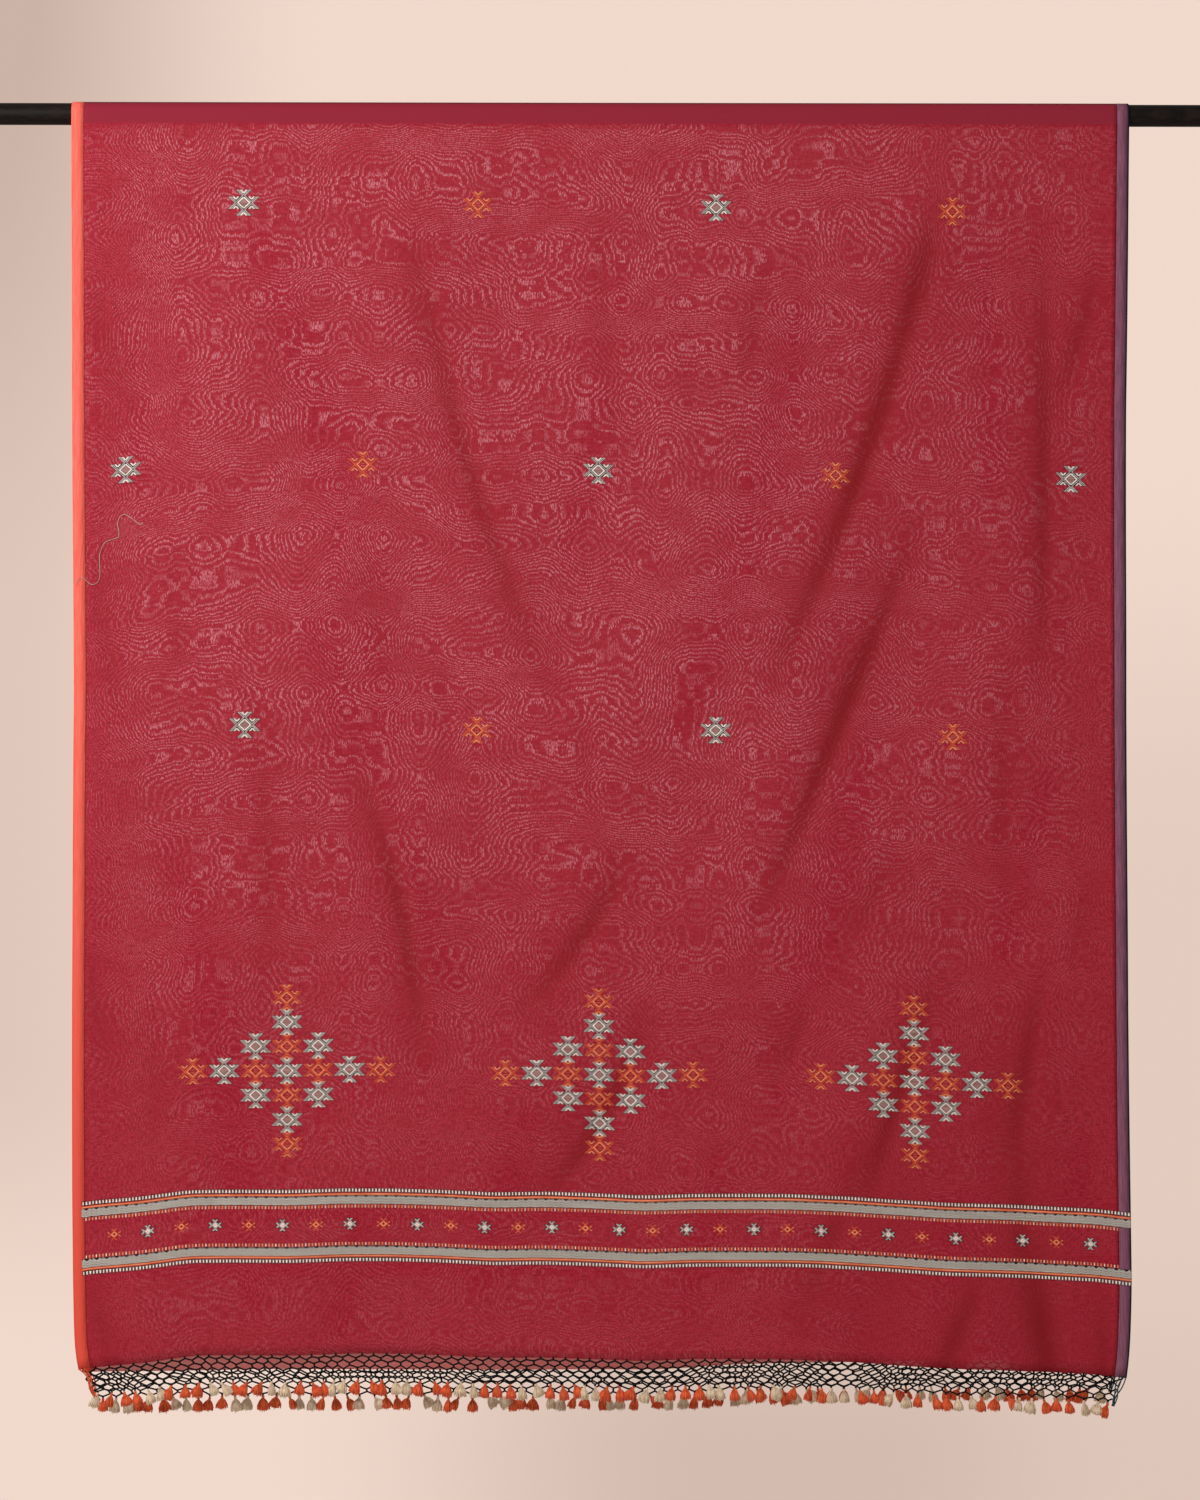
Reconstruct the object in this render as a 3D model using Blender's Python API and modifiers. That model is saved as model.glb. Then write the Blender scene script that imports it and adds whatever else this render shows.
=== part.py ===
"""A dupatta stole hung over a round rod.

Metres, +Z up. The origin is the middle of the rod's axis, X runs along the rod and the
front of the stole faces -Y. The cloth is one woven length: a crimson ground between an
orange and a purple selvedge, two extra-weft border bands near each end, and a knotted net
with tassels at both hems. It goes over the rod, so each woven piece has a front stretch, a
turn over the rod and a back stretch.
"""
from collections import namedtuple
import math

import bmesh
import bpy
from mathutils import Vector
import numpy as np

OBJECT_NAME = "dupatta_stole"

# Rod
ROD_DIAMETER = 0.019
ROD_LENGTH = 1.120
ROD_SIDES = 48
ROD_END_ROUND = 0.001

# Cloth
WALL = 0.001
SEAM = 0.0003
SELVEDGE_WIDTH = 0.0104
FRONT_DROP = 1.0838
BACK_DROP = 1.0898
REST_GAP = 0.0004
TURN_SIDES = 12
TURN_RADIUS = ROD_DIAMETER / 2 + REST_GAP + WALL / 2
HEM_HALF_GAP = 0.0092
COURSE_SETTLES = 0.25
FOLDS_START = 0.10

# Border bands, measured up from the hem
UPPER_BAND_UP = (0.1272, 0.1440)
LOWER_BAND_UP = (0.0810, 0.0992)
BAND_LIFT = WALL + 0.0004
BAND_INSET = 0.0008

# Fringe
NET_DEPTH = 0.0215
NET_TUCK = 0.0100
TASSEL_DROP = 0.0160
TASSEL_THICKNESS = 0.0050
TASSEL_SPREAD = 0.0050

# Fineness of the sheets
FRONT_COLUMNS = 34
BACK_COLUMNS = 26
FRONT_ROW = 0.042
BACK_ROW = 0.056

Edge = namedtuple("Edge", "down left right")
EDGES = (
    Edge(0.000, -0.4610, 0.4611),
    Edge(0.236, -0.4599, 0.4588),
    Edge(0.498, -0.4579, 0.4594),
    Edge(0.760, -0.4593, 0.4615),
    Edge(0.938, -0.4589, 0.4640),
    Edge(1.006, -0.4581, 0.4650),
    Edge(1.050, -0.4570, 0.4640),
    Edge(1.074, -0.4556, 0.4624),
    Edge(1.090, -0.4515, 0.4600),
)

# How far the weft sags below a level line, from the orange edge to the purple one
Course = namedtuple("Course", "across droop")
FRONT_COURSE = (
    Course(-0.460, 0.0100),
    Course(-0.430, 0.0098),
    Course(-0.400, 0.0068),
    Course(-0.350, 0.0012),
    Course(-0.209, 0.0000),
    Course(-0.130, 0.0008),
    Course(0.000, 0.0036),
    Course(0.132, 0.0042),
    Course(0.219, 0.0070),
    Course(0.307, 0.0098),
    Course(0.394, 0.0145),
    Course(0.460, 0.0178),
)
BACK_COURSE = (
    Course(-0.460, 0.0118),
    Course(-0.300, 0.0092),
    Course(0.050, 0.0090),
    Course(0.110, 0.0046),
    Course(0.210, 0.0018),
    Course(0.333, 0.0000),
    Course(0.460, 0.0026),
)

# The largest folds: soft troughs that run from a top point to a foot point
Fold = namedtuple("Fold", "top_x top_z foot_x foot_z half_width depth")
FRONT_FOLDS = (
    Fold(0.289, -0.066, 0.145, -0.503, 0.030, 0.0036),
    Fold(0.276, -0.363, 0.132, -0.713, 0.026, 0.0032),
    Fold(0.391, -0.074, 0.384, -0.512, 0.026, 0.0030),
    Fold(-0.161, -0.136, -0.034, -0.512, 0.030, 0.0024),
    Fold(-0.218, -0.555, -0.130, -0.853, 0.028, 0.0024),
    Fold(0.023, -0.643, -0.056, -0.774, 0.030, 0.0026),
    Fold(0.040, -0.791, -0.043, -0.949, 0.030, 0.0028),
    Fold(0.294, -0.739, 0.176, -1.071, 0.032, 0.0030),
    Fold(0.384, -0.722, 0.285, -1.180, 0.034, 0.0034),
    Fold(-0.350, -0.300, -0.330, -0.700, 0.060, -0.0020),
    Fold(0.030, -0.150, 0.060, -0.550, 0.060, -0.0022),
    Fold(-0.380, -0.900, -0.400, -1.200, 0.040, -0.0020),
)
BACK_FOLDS = (
    Fold(-0.310, -0.080, -0.180, -0.560, 0.034, 0.0032),
    Fold(-0.260, -0.400, -0.120, -0.780, 0.032, 0.0028),
    Fold(0.180, -0.140, 0.060, -0.560, 0.036, 0.0026),
    Fold(0.240, -0.520, 0.150, -0.880, 0.034, 0.0026),
    Fold(-0.380, -0.620, -0.300, -1.180, 0.040, 0.0030),
    Fold(0.360, -0.250, 0.390, -0.800, 0.050, -0.0022),
    Fold(-0.020, -0.700, 0.050, -1.180, 0.050, -0.0024),
)

Side = namedtuple("Side", "name facing drop course folds columns row")
FRONT = Side("front", -1, FRONT_DROP, FRONT_COURSE, FRONT_FOLDS, FRONT_COLUMNS, FRONT_ROW)
BACK = Side("back", 1, BACK_DROP, BACK_COURSE, BACK_FOLDS, BACK_COLUMNS, BACK_ROW)

Finish = namedtuple("Finish", "colour roughness metallic")
FINISHES = {
    "ground": Finish((0.434, 0.021, 0.045, 1.0), 0.75, 0.0),
    "orange_thread": Finish((0.752, 0.107, 0.056, 1.0), 0.75, 0.0),
    "purple_thread": Finish((0.160, 0.070, 0.120, 1.0), 0.75, 0.0),
    "border_thread": Finish((0.480, 0.420, 0.390, 1.0), 0.80, 0.0),
    "net_cord": Finish((0.014, 0.013, 0.016, 1.0), 0.80, 0.0),
    "tassel_thread": Finish((0.640, 0.160, 0.055, 1.0), 0.85, 0.0),
    "rod_black": Finish((0.012, 0.010, 0.009, 1.0), 0.45, 0.6),
}


def clear_scene():
    for old in list(bpy.data.objects):
        bpy.data.objects.remove(old, do_unlink=True)


def make_material(name):
    finish = FINISHES[name]
    material = bpy.data.materials.new(name)
    material.use_nodes = True
    shader = material.node_tree.nodes["Principled BSDF"]
    shader.inputs["Base Color"].default_value = finish.colour
    shader.inputs["Roughness"].default_value = finish.roughness
    shader.inputs["Metallic"].default_value = finish.metallic
    return material


def read_off(table, key, value, at):
    """The table's value column at a place along its key column."""
    keys = [getattr(row, key) for row in table]
    values = [getattr(row, value) for row in table]
    return float(np.interp(at, keys, values))


def ease(share):
    share = min(max(share, 0.0), 1.0)
    return share * share * (3.0 - 2.0 * share)


def fold_depth(folds, x, z):
    """How far the folds push the sheet in at a point, fading at both ends of each fold."""
    depth = 0.0
    here = Vector((x, z))
    for fold in folds:
        top = Vector((fold.top_x, fold.top_z))
        run = Vector((fold.foot_x, fold.foot_z)) - top
        share = min(max((here - top).dot(run) / run.length_squared, 0.0), 1.0)
        off = (here - top - run * share).length / fold.half_width
        depth += fold.depth * math.sin(math.pi * share) * math.exp(-off * off)
    return depth


def edge_x(down, name):
    return read_off(EDGES, "down", name, down)


def sheet_point(side, x, down, lift=0.0):
    """A point of the hanging sheet, lifted outwards from its middle layer."""
    droop = read_off(side.course, "across", "droop", x) * ease(down / COURSE_SETTLES)
    z = -(down + droop)
    half_gap = TURN_RADIUS + (HEM_HALF_GAP - TURN_RADIUS) * ease(down / side.drop)
    half_gap -= fold_depth(side.folds, x, z) * ease(down / FOLDS_START)
    return Vector((x, side.facing * (half_gap + lift), z))


def turn_point(x, share):
    """A point of the turn over the rod, from the front (0) to the back (1)."""
    first = SEAM / 2 / TURN_RADIUS
    angle = first + share * (math.pi - 2 * first)
    return Vector((x, -TURN_RADIUS * math.cos(angle), TURN_RADIUS * math.sin(angle)))


def add_object(name, mesh, material_name, collection, parent):
    mesh.materials.append(bpy.data.materials[material_name])
    piece = bpy.data.objects.new(name, mesh)
    piece.parent = parent
    collection.objects.link(piece)
    return piece


def add_sheet(name, columns, rows, place, thickness, material_name, collection, parent):
    """A grid whose points are laid by place(column, row), then given its thickness."""
    bm = bmesh.new()
    bmesh.ops.create_grid(bm, x_segments=columns, y_segments=rows, size=0.5)
    for vert in bm.verts:
        column = round((vert.co.x + 0.5) * columns)
        row = round((0.5 - vert.co.y) * rows)
        vert.co = place(column, row)
    mesh = bpy.data.meshes.new(name)
    bm.to_mesh(mesh)
    bm.free()
    mesh.shade_smooth()
    piece = add_object(name, mesh, material_name, collection, parent)
    wall = piece.modifiers.new("wall", "SOLIDIFY")
    wall.thickness = thickness
    wall.offset = 0.0
    wall.use_even_offset = True
    return piece


def row_downs(side):
    """The sheet's rows: the border bands' edges, and even rows between them."""
    stops = [SEAM / 2]
    stops += [side.drop - up for up in sorted(UPPER_BAND_UP + LOWER_BAND_UP, reverse=True)]
    stops.append(side.drop)
    downs = [stops[0]]
    for start, end in zip(stops, stops[1:]):
        count = max(1, round((end - start) / side.row))
        downs += [start + (end - start) * step / count for step in range(1, count + 1)]
    return downs


def field_edges(down):
    left = edge_x(down, "left") + SELVEDGE_WIDTH + SEAM / 2
    right = edge_x(down, "right") - SELVEDGE_WIDTH - SEAM / 2
    return left, right


def field_x(side, column, down):
    left, right = field_edges(down)
    return left + (right - left) * column / side.columns


def add_field(side, collection, parent):
    downs = row_downs(side)

    def place(column, row):
        down = downs[row]
        return sheet_point(side, field_x(side, column, down), down)

    name = side.name + "_field"
    return add_sheet(name, side.columns, len(downs) - 1, place, WALL, "ground", collection, parent)


def selvedge_edges(colour, down):
    left, right = field_edges(down)
    if colour == "orange":
        return edge_x(down, "left"), left - SEAM
    return right + SEAM, edge_x(down, "right")


def add_selvedge(side, colour, collection, parent):
    downs = row_downs(side)

    def place(column, row):
        down = downs[row]
        return sheet_point(side, selvedge_edges(colour, down)[column], down)

    name = side.name + "_" + colour + "_selvedge"
    return add_sheet(name, 1, len(downs) - 1, place, WALL, colour + "_thread", collection, parent)


def add_turn(name, edges, material_name, collection, parent):
    """The stretch of a woven piece that lies over the rod, between two edges."""

    def place(column, row):
        return turn_point(edges[column], row / TURN_SIDES)

    return add_sheet(name, 1, TURN_SIDES, place, WALL, material_name, collection, parent)


def across_x(side, column, down, inset):
    """The sheet's columns, both selvedges' outer edges included, drawn in by inset at each end."""
    left = edge_x(down, "left")
    right = edge_x(down, "right")
    if column == 0:
        x = left
    elif column == side.columns + 2:
        x = right
    else:
        x = field_x(side, column - 1, down)
    return left + inset + (x - left) * (1.0 - 2.0 * inset / (right - left))


def add_band(side, name, ups, collection, parent):
    """A border band: the sheet's own points across both selvedges, moved out."""
    downs = [side.drop - max(ups), side.drop - min(ups)]

    def place(column, row):
        down = downs[row]
        return sheet_point(side, across_x(side, column, down, BAND_INSET), down, BAND_LIFT)

    piece_name = side.name + "_" + name + "_border"
    columns = side.columns + 2
    return add_sheet(piece_name, columns, 1, place, WALL, "border_thread", collection, parent)


def add_fringe_strip(side, name, start, depth, insets, thickness, material_name, collection, parent):
    """A strip below the hem, drawn in by insets at its top and its foot."""

    def place(column, row):
        x = across_x(side, column, side.drop, insets[row])
        return sheet_point(side, x, side.drop + start + depth * row)

    piece_name = side.name + "_" + name
    columns = side.columns + 2
    return add_sheet(piece_name, columns, 1, place, thickness, material_name, collection, parent)


def add_net(side, collection, parent):
    insets = (BAND_INSET, NET_TUCK)
    return add_fringe_strip(side, "net", SEAM, NET_DEPTH, insets, WALL, "net_cord", collection, parent)


def add_tassels(side, collection, parent):
    start = 2 * SEAM + NET_DEPTH
    insets = (NET_TUCK, TASSEL_SPREAD)
    return add_fringe_strip(side, "tassels", start, TASSEL_DROP, insets, TASSEL_THICKNESS,
                            "tassel_thread", collection, parent)


def add_rod(collection, parent):
    bpy.ops.mesh.primitive_cylinder_add(
        vertices=ROD_SIDES, radius=ROD_DIAMETER / 2, depth=ROD_LENGTH, rotation=(0.0, math.pi / 2, 0.0)
    )
    rod = bpy.context.active_object
    rod.name = "rod"
    rod.data.materials.append(bpy.data.materials["rod_black"])
    rod.parent = parent
    for home in list(rod.users_collection):
        home.objects.unlink(rod)
    collection.objects.link(rod)
    ends = rod.modifiers.new("rounded_ends", "BEVEL")
    ends.width = ROD_END_ROUND
    ends.segments = 2
    ends.limit_method = "ANGLE"
    ends.angle_limit = math.radians(40.0)
    rod.data.shade_smooth()
    rod.data.set_sharp_from_angle(angle=math.radians(30.0))
    return rod


def build():
    clear_scene()
    for name in FINISHES:
        make_material(name)
    collection = bpy.data.collections.new(OBJECT_NAME)
    bpy.context.scene.collection.children.link(collection)
    parent = bpy.data.objects.new(OBJECT_NAME + "_centre", None)
    collection.objects.link(parent)

    add_rod(collection, parent)
    add_turn("turn_field", field_edges(0.0), "ground", collection, parent)
    for colour in ("orange", "purple"):
        name = "turn_" + colour + "_selvedge"
        add_turn(name, selvedge_edges(colour, 0.0), colour + "_thread", collection, parent)
    for side in (FRONT, BACK):
        add_field(side, collection, parent)
        for colour in ("orange", "purple"):
            add_selvedge(side, colour, collection, parent)
        add_band(side, "upper", UPPER_BAND_UP, collection, parent)
        add_band(side, "lower", LOWER_BAND_UP, collection, parent)
        add_net(side, collection, parent)
        add_tassels(side, collection, parent)


build()
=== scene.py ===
# %% [markdown]
# # A dupatta hung over a rod
#
# A dupatta is one long handwoven cloth. This one is a semi-sheer crimson cotton with an orange
# selvedge on one side and a plum one on the other, woven stars in the field, two border bands
# near each end, and a knotted net with tassels along both hems. It is folded over a black rod,
# so two layers hang close together.
#
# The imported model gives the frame: where the rod is, how wide the cloth is and how far it
# hangs. Everything below is a finer piece laid on that frame.

# %% Load the frame
import math
import random
from collections import namedtuple

import bmesh
import bpy
import numpy as np
from mathutils import Matrix, Vector


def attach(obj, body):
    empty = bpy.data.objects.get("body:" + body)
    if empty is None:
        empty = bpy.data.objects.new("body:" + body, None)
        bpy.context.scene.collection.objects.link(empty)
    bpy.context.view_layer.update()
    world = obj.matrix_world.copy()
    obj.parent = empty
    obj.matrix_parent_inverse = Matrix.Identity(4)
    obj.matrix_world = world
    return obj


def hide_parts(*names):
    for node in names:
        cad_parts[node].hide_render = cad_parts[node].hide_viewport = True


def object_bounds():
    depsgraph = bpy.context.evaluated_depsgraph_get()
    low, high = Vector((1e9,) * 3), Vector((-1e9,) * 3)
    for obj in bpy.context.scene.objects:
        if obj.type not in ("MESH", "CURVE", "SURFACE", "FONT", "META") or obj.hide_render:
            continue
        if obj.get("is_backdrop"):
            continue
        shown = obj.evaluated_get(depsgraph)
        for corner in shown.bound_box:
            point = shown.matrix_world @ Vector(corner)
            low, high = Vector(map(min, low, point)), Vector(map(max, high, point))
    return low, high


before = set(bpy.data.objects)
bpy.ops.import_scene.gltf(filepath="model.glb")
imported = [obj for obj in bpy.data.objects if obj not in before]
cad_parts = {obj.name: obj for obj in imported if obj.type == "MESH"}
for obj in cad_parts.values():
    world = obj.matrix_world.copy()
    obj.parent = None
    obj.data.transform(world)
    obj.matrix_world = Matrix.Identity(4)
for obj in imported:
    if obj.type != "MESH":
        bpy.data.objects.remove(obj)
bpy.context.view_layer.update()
print("frame nodes:", len(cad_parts))

# %% [markdown]
# ## The camera
#
# The stole is seen straight on, from about three metres away. The lens follows from the
# height that has to fit, so the distance can change without changing the framing. A tiny
# roll makes the rod run very slightly downhill, as a rod on two cords does.

# %% Camera
CAMERA_DISTANCE = 3.0
VIEW_HEIGHT = 1.3117
VIEW_CENTRE = Vector((0.0007, 0.0, -0.5553))
CAMERA_ROLL = math.radians(0.0955)

camera_data = bpy.data.cameras.new("camera")
camera_data.sensor_fit = "VERTICAL"
camera_data.sensor_height = 24.0
camera_data.lens = 24.0 * CAMERA_DISTANCE / VIEW_HEIGHT
camera = bpy.data.objects.new("camera", camera_data)
bpy.context.scene.collection.objects.link(camera)
level = Matrix.Rotation(math.radians(90.0), 4, "X")
camera.matrix_world = (
    Matrix.Translation(VIEW_CENTRE + Vector((0.0, -CAMERA_DISTANCE, 0.0)))
    @ level
    @ Matrix.Rotation(CAMERA_ROLL, 4, "Z")
)
bpy.context.scene.camera = camera
print("lens in millimetres:", round(camera_data.lens, 1))

# %% [markdown]
# ## Helpers for node trees
#
# Materials and the background are made of many small nodes. These helpers add one node each,
# join it up and give back its output, so a whole effect can be read like a sum.

# %% Small helpers for node trees
def math_node(tree, operation, first, second=None):
    """A Math node whose inputs are links or plain numbers."""
    node = tree.nodes.new("ShaderNodeMath")
    node.operation = operation
    for socket, value in zip(node.inputs, (first, second)):
        if isinstance(value, (int, float)):
            socket.default_value = value
        elif value is not None:
            tree.links.new(value, socket)
    return node.outputs["Value"]


def ramp_between(tree, value, low, high):
    """Zero at low, one at high, and smooth in between; low may be the larger."""
    node = tree.nodes.new("ShaderNodeMapRange")
    node.interpolation_type = "SMOOTHSTEP"
    node.inputs["From Min"].default_value = low
    node.inputs["From Max"].default_value = high
    tree.links.new(value, node.inputs["Value"])
    return node.outputs["Result"]


# %% Helpers for noise and colour
def scaled_noise(tree, vector, scale, detail, seed):
    """Flat noise read at a place, with its own scale for each direction."""
    mapping = tree.nodes.new("ShaderNodeMapping")
    mapping.inputs["Scale"].default_value = scale
    mapping.inputs["Location"].default_value = (seed * 3.7, seed * 1.9, 0.0)
    tree.links.new(vector, mapping.inputs["Vector"])
    noise = tree.nodes.new("ShaderNodeTexNoise")
    noise.noise_dimensions = "2D"
    noise.inputs["Scale"].default_value = 1.0
    noise.inputs["Detail"].default_value = detail
    tree.links.new(mapping.outputs["Vector"], noise.inputs["Vector"])
    return noise.outputs["Fac"]


def blend_colours(tree, share, first, second):
    """Goes from the first colour to the second by a share; each is a link or a plain colour."""
    node = tree.nodes.new("ShaderNodeMix")
    node.data_type = "RGBA"
    share_socket, first_socket, second_socket = node.inputs[0], node.inputs[6], node.inputs[7]
    tree.links.new(share, share_socket)
    for socket, value in ((first_socket, first), (second_socket, second)):
        if isinstance(value, tuple):
            socket.default_value = (*value, 1.0)
        else:
            tree.links.new(value, socket)
    return node.outputs[2]


# %% Helpers that start a material or a group
def new_material(name):
    """A material, its node tree and the shader in it."""
    material = bpy.data.materials.new(name)
    material.use_nodes = True
    return material, material.node_tree, material.node_tree.nodes["Principled BSDF"]


def add_bump(tree, shader, height, strength, distance):
    """Lets a height pattern tilt the shader's normal a little."""
    bump = tree.nodes.new("ShaderNodeBump")
    bump.inputs["Strength"].default_value = strength
    bump.inputs["Distance"].default_value = distance
    tree.links.new(height, bump.inputs["Height"])
    tree.links.new(bump.outputs["Normal"], shader.inputs["Normal"])


def new_group(name, inputs, outputs):
    """An empty node group; inputs maps each socket's name to its default, or None for a place."""
    group = bpy.data.node_groups.new(name, "ShaderNodeTree")
    for socket_name, default in inputs.items():
        kind = "NodeSocketVector" if default is None else "NodeSocketFloat"
        socket = group.interface.new_socket(socket_name, in_out="INPUT", socket_type=kind)
        if default is not None:
            socket.default_value = default
    for socket_name in outputs:
        group.interface.new_socket(socket_name, in_out="OUTPUT", socket_type="NodeSocketFloat")
    return group, group.nodes.new("NodeGroupInput"), group.nodes.new("NodeGroupOutput")


# %% [markdown]
# ## Light, background and floor
#
# Cloth shows its folds when one soft light comes from the side. A strong lamp stands up and
# to the left, a weak one fills from the right, and a third lights the back layer. The
# background gives an even, warm light all round, and is seen as a pale wall that is a little
# darker in places. The view transform is Standard, so the dye colours stay as they are set.

# %% Background
bpy.context.scene.view_settings.view_transform = "Standard"
WALL_COLOUR = (0.876, 0.694, 0.600)
WALL_SHADE = (0.60, 0.455, 0.385)
ROOM_LIGHT = (1.0, 0.93, 0.88, 1.0)
ROOM_STRENGTH = 0.34

world = bpy.data.worlds.new("studio")
bpy.context.scene.world = world
world.use_nodes = True
tree = world.node_tree
tree.nodes.clear()
direction = tree.nodes.new("ShaderNodeSeparateXYZ")
looking = tree.nodes.new("ShaderNodeTexCoord").outputs["Generated"]
tree.links.new(looking, direction.inputs["Vector"])
sideways, upwards = direction.outputs["X"], direction.outputs["Z"]
left_side = ramp_between(tree, sideways, -0.075, -0.185)
right_side = ramp_between(tree, sideways, -0.10, 0.03)
middle = math_node(tree, "MULTIPLY", right_side, ramp_between(tree, sideways, 0.15, 0.08))
shade = None
for side, amount, clear_at, dark_at in (
    (left_side, 0.52, -0.175, -0.085),
    (left_side, 0.66, 0.02, 0.22),
    (right_side, 0.38, 0.09, -0.04),
    (right_side, 0.16, -0.13, -0.20),
    (middle, 0.26, -0.13, -0.20),
):
    height = ramp_between(tree, upwards, clear_at, dark_at)
    patch = math_node(tree, "MULTIPLY", math_node(tree, "MULTIPLY", side, height), amount)
    shade = patch if shade is None else math_node(tree, "ADD", shade, patch)
seen = tree.nodes.new("ShaderNodeBackground")
tree.links.new(blend_colours(tree, shade, WALL_COLOUR, WALL_SHADE), seen.inputs["Color"])
lit = tree.nodes.new("ShaderNodeBackground")
lit.inputs["Color"].default_value = ROOM_LIGHT
lit.inputs["Strength"].default_value = ROOM_STRENGTH
either = tree.nodes.new("ShaderNodeMixShader")
is_seen = tree.nodes.new("ShaderNodeLightPath").outputs["Is Camera Ray"]
tree.links.new(is_seen, either.inputs["Fac"])
tree.links.new(lit.outputs["Background"], either.inputs[1])
tree.links.new(seen.outputs["Background"], either.inputs[2])
tree.links.new(either.outputs["Shader"], tree.nodes.new("ShaderNodeOutputWorld").inputs["Surface"])
print("background nodes:", len(tree.nodes))


# %% Lamps and floor
def add_lamp(name, place, aim, size, power, colour):
    """A square area lamp at a place, turned to face a point."""
    data = bpy.data.lights.new(name, "AREA")
    data.size = size
    data.energy = power
    data.color = colour
    lamp = bpy.data.objects.new(name, data)
    lamp.location = place
    lamp.rotation_euler = (Vector(aim) - Vector(place)).to_track_quat("-Z", "Y").to_euler()
    lamp.visible_camera = False
    bpy.context.scene.collection.objects.link(lamp)


CLOTH_MIDDLE = (0.0, 0.0, -0.55)
add_lamp("key", (-1.6, -1.9, 0.35), CLOTH_MIDDLE, 0.9, 50.0, (1.0, 0.96, 0.93))
add_lamp("fill", (2.2, -3.0, 0.0), CLOTH_MIDDLE, 2.0, 8.0, (1.0, 0.97, 0.95))
add_lamp("back", (1.6, 2.2, 0.3), CLOTH_MIDDLE, 1.2, 50.0, (1.0, 0.96, 0.93))

FLOOR_RADIUS = 8.6
FLOOR_LEVEL = -3.2
floor_mesh = bpy.data.meshes.new("floor")
bm = bmesh.new()
bmesh.ops.create_circle(bm, cap_ends=True, segments=96, radius=FLOOR_RADIUS)
bmesh.ops.translate(bm, vec=(0.0, 0.0, FLOOR_LEVEL), verts=bm.verts)
bm.to_mesh(floor_mesh)
bm.free()
floor = bpy.data.objects.new("floor", floor_mesh)
bpy.context.scene.collection.objects.link(floor)
floor_paint, tree, shader = new_material("floor_paint")
shader.inputs["Base Color"].default_value = (0.80, 0.68, 0.60, 1.0)
shader.inputs["Roughness"].default_value = 0.9
floor_mesh.materials.append(floor_paint)
floor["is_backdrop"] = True
print("lamps:", [lamp.name for lamp in bpy.data.lights])

# %% [markdown]
# ## How the cloth hangs
#
# Every woven or knotted thing here is first laid out flat, in three coordinates that a
# weaver would know: `across` the loom, `run` along the warp, and `lift` off the cloth. One
# function then carries flat points to their hanging place: over the rod, down the front or
# down the back, with the sag of the weft and the soft folds. Anything made flat can go
# through it, so a star or a tassel always sits exactly on its cloth.
#
# `run` is zero on top of the rod, negative down the front and positive down the back.

# %% Sizes of the hanging cloth
HALF_WIDTH = 0.460
SELVEDGE = 0.0104
FIELD_HALF = HALF_WIDTH - SELVEDGE
TURN_RADIUS = 0.0104
QUARTER_TURN = TURN_RADIUS * math.pi / 2
FRONT_DROP = 1.0838
BACK_DROP = 1.0898
HEM_HALF_GAP = 0.0092
FRONT_RUN = QUARTER_TURN + FRONT_DROP
BACK_RUN = QUARTER_TURN + BACK_DROP
print("unfolded cloth, metres:", round(FRONT_RUN + BACK_RUN, 3))

# %% [markdown]
# ### Tables of the cloth's shape
#
# The two side edges are not quite straight, and a weft thread doesn't hang quite level, so
# both are given as tables: the edges by how far down they are, the weft's sag by how far
# across. A crease is a line between two points that the cloth is pushed in along. The
# tables are in millimetres, as a maker would note them, and one helper turns them to metres.


# %% The side edges and the sag of the weft
def in_metres(kind, rows):
    """Named rows in metres from rows in millimetres; a word stays as it is."""
    return tuple(
        kind(*(cell if isinstance(cell, str) else cell / 1000 for cell in row)) for row in rows
    )


Edge = namedtuple("Edge", "down left right")
EDGES = in_metres(Edge, (
    (0, -461, 461.1), (236, -459.9, 458.8), (498, -457.9, 459.4), (760, -459.3, 461.5),
    (938, -458.9, 464), (1006, -458.1, 465), (1050, -457, 464), (1074, -455.6, 462.4),
    (1090, -451.5, 460),
))

Course = namedtuple("Course", "across sag")
FRONT_COURSE = in_metres(Course, (
    (-460, 12.5), (-445, 10), (-402, 6.1), (-358, 0), (-314, -0.3), (-270, -0.2),
    (-227, -1.7), (-183, -1.6), (-139, -0.6), (-96, 1.5), (-52, 1.1), (-8, 2.4),
    (36, 4.2), (79, 2.5), (123, 2.5), (167, 2.7), (211, 4.8), (254, 7.5),
    (298, 10.2), (342, 11.3), (386, 13.5), (429, 15.2), (460, 18.6),
))
BACK_COURSE = in_metres(Course, (
    (-460, 11.8), (-300, 9.2), (50, 9), (110, 4.6), (210, 1.8),
    (333, 0), (460, 2.6),
))

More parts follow.
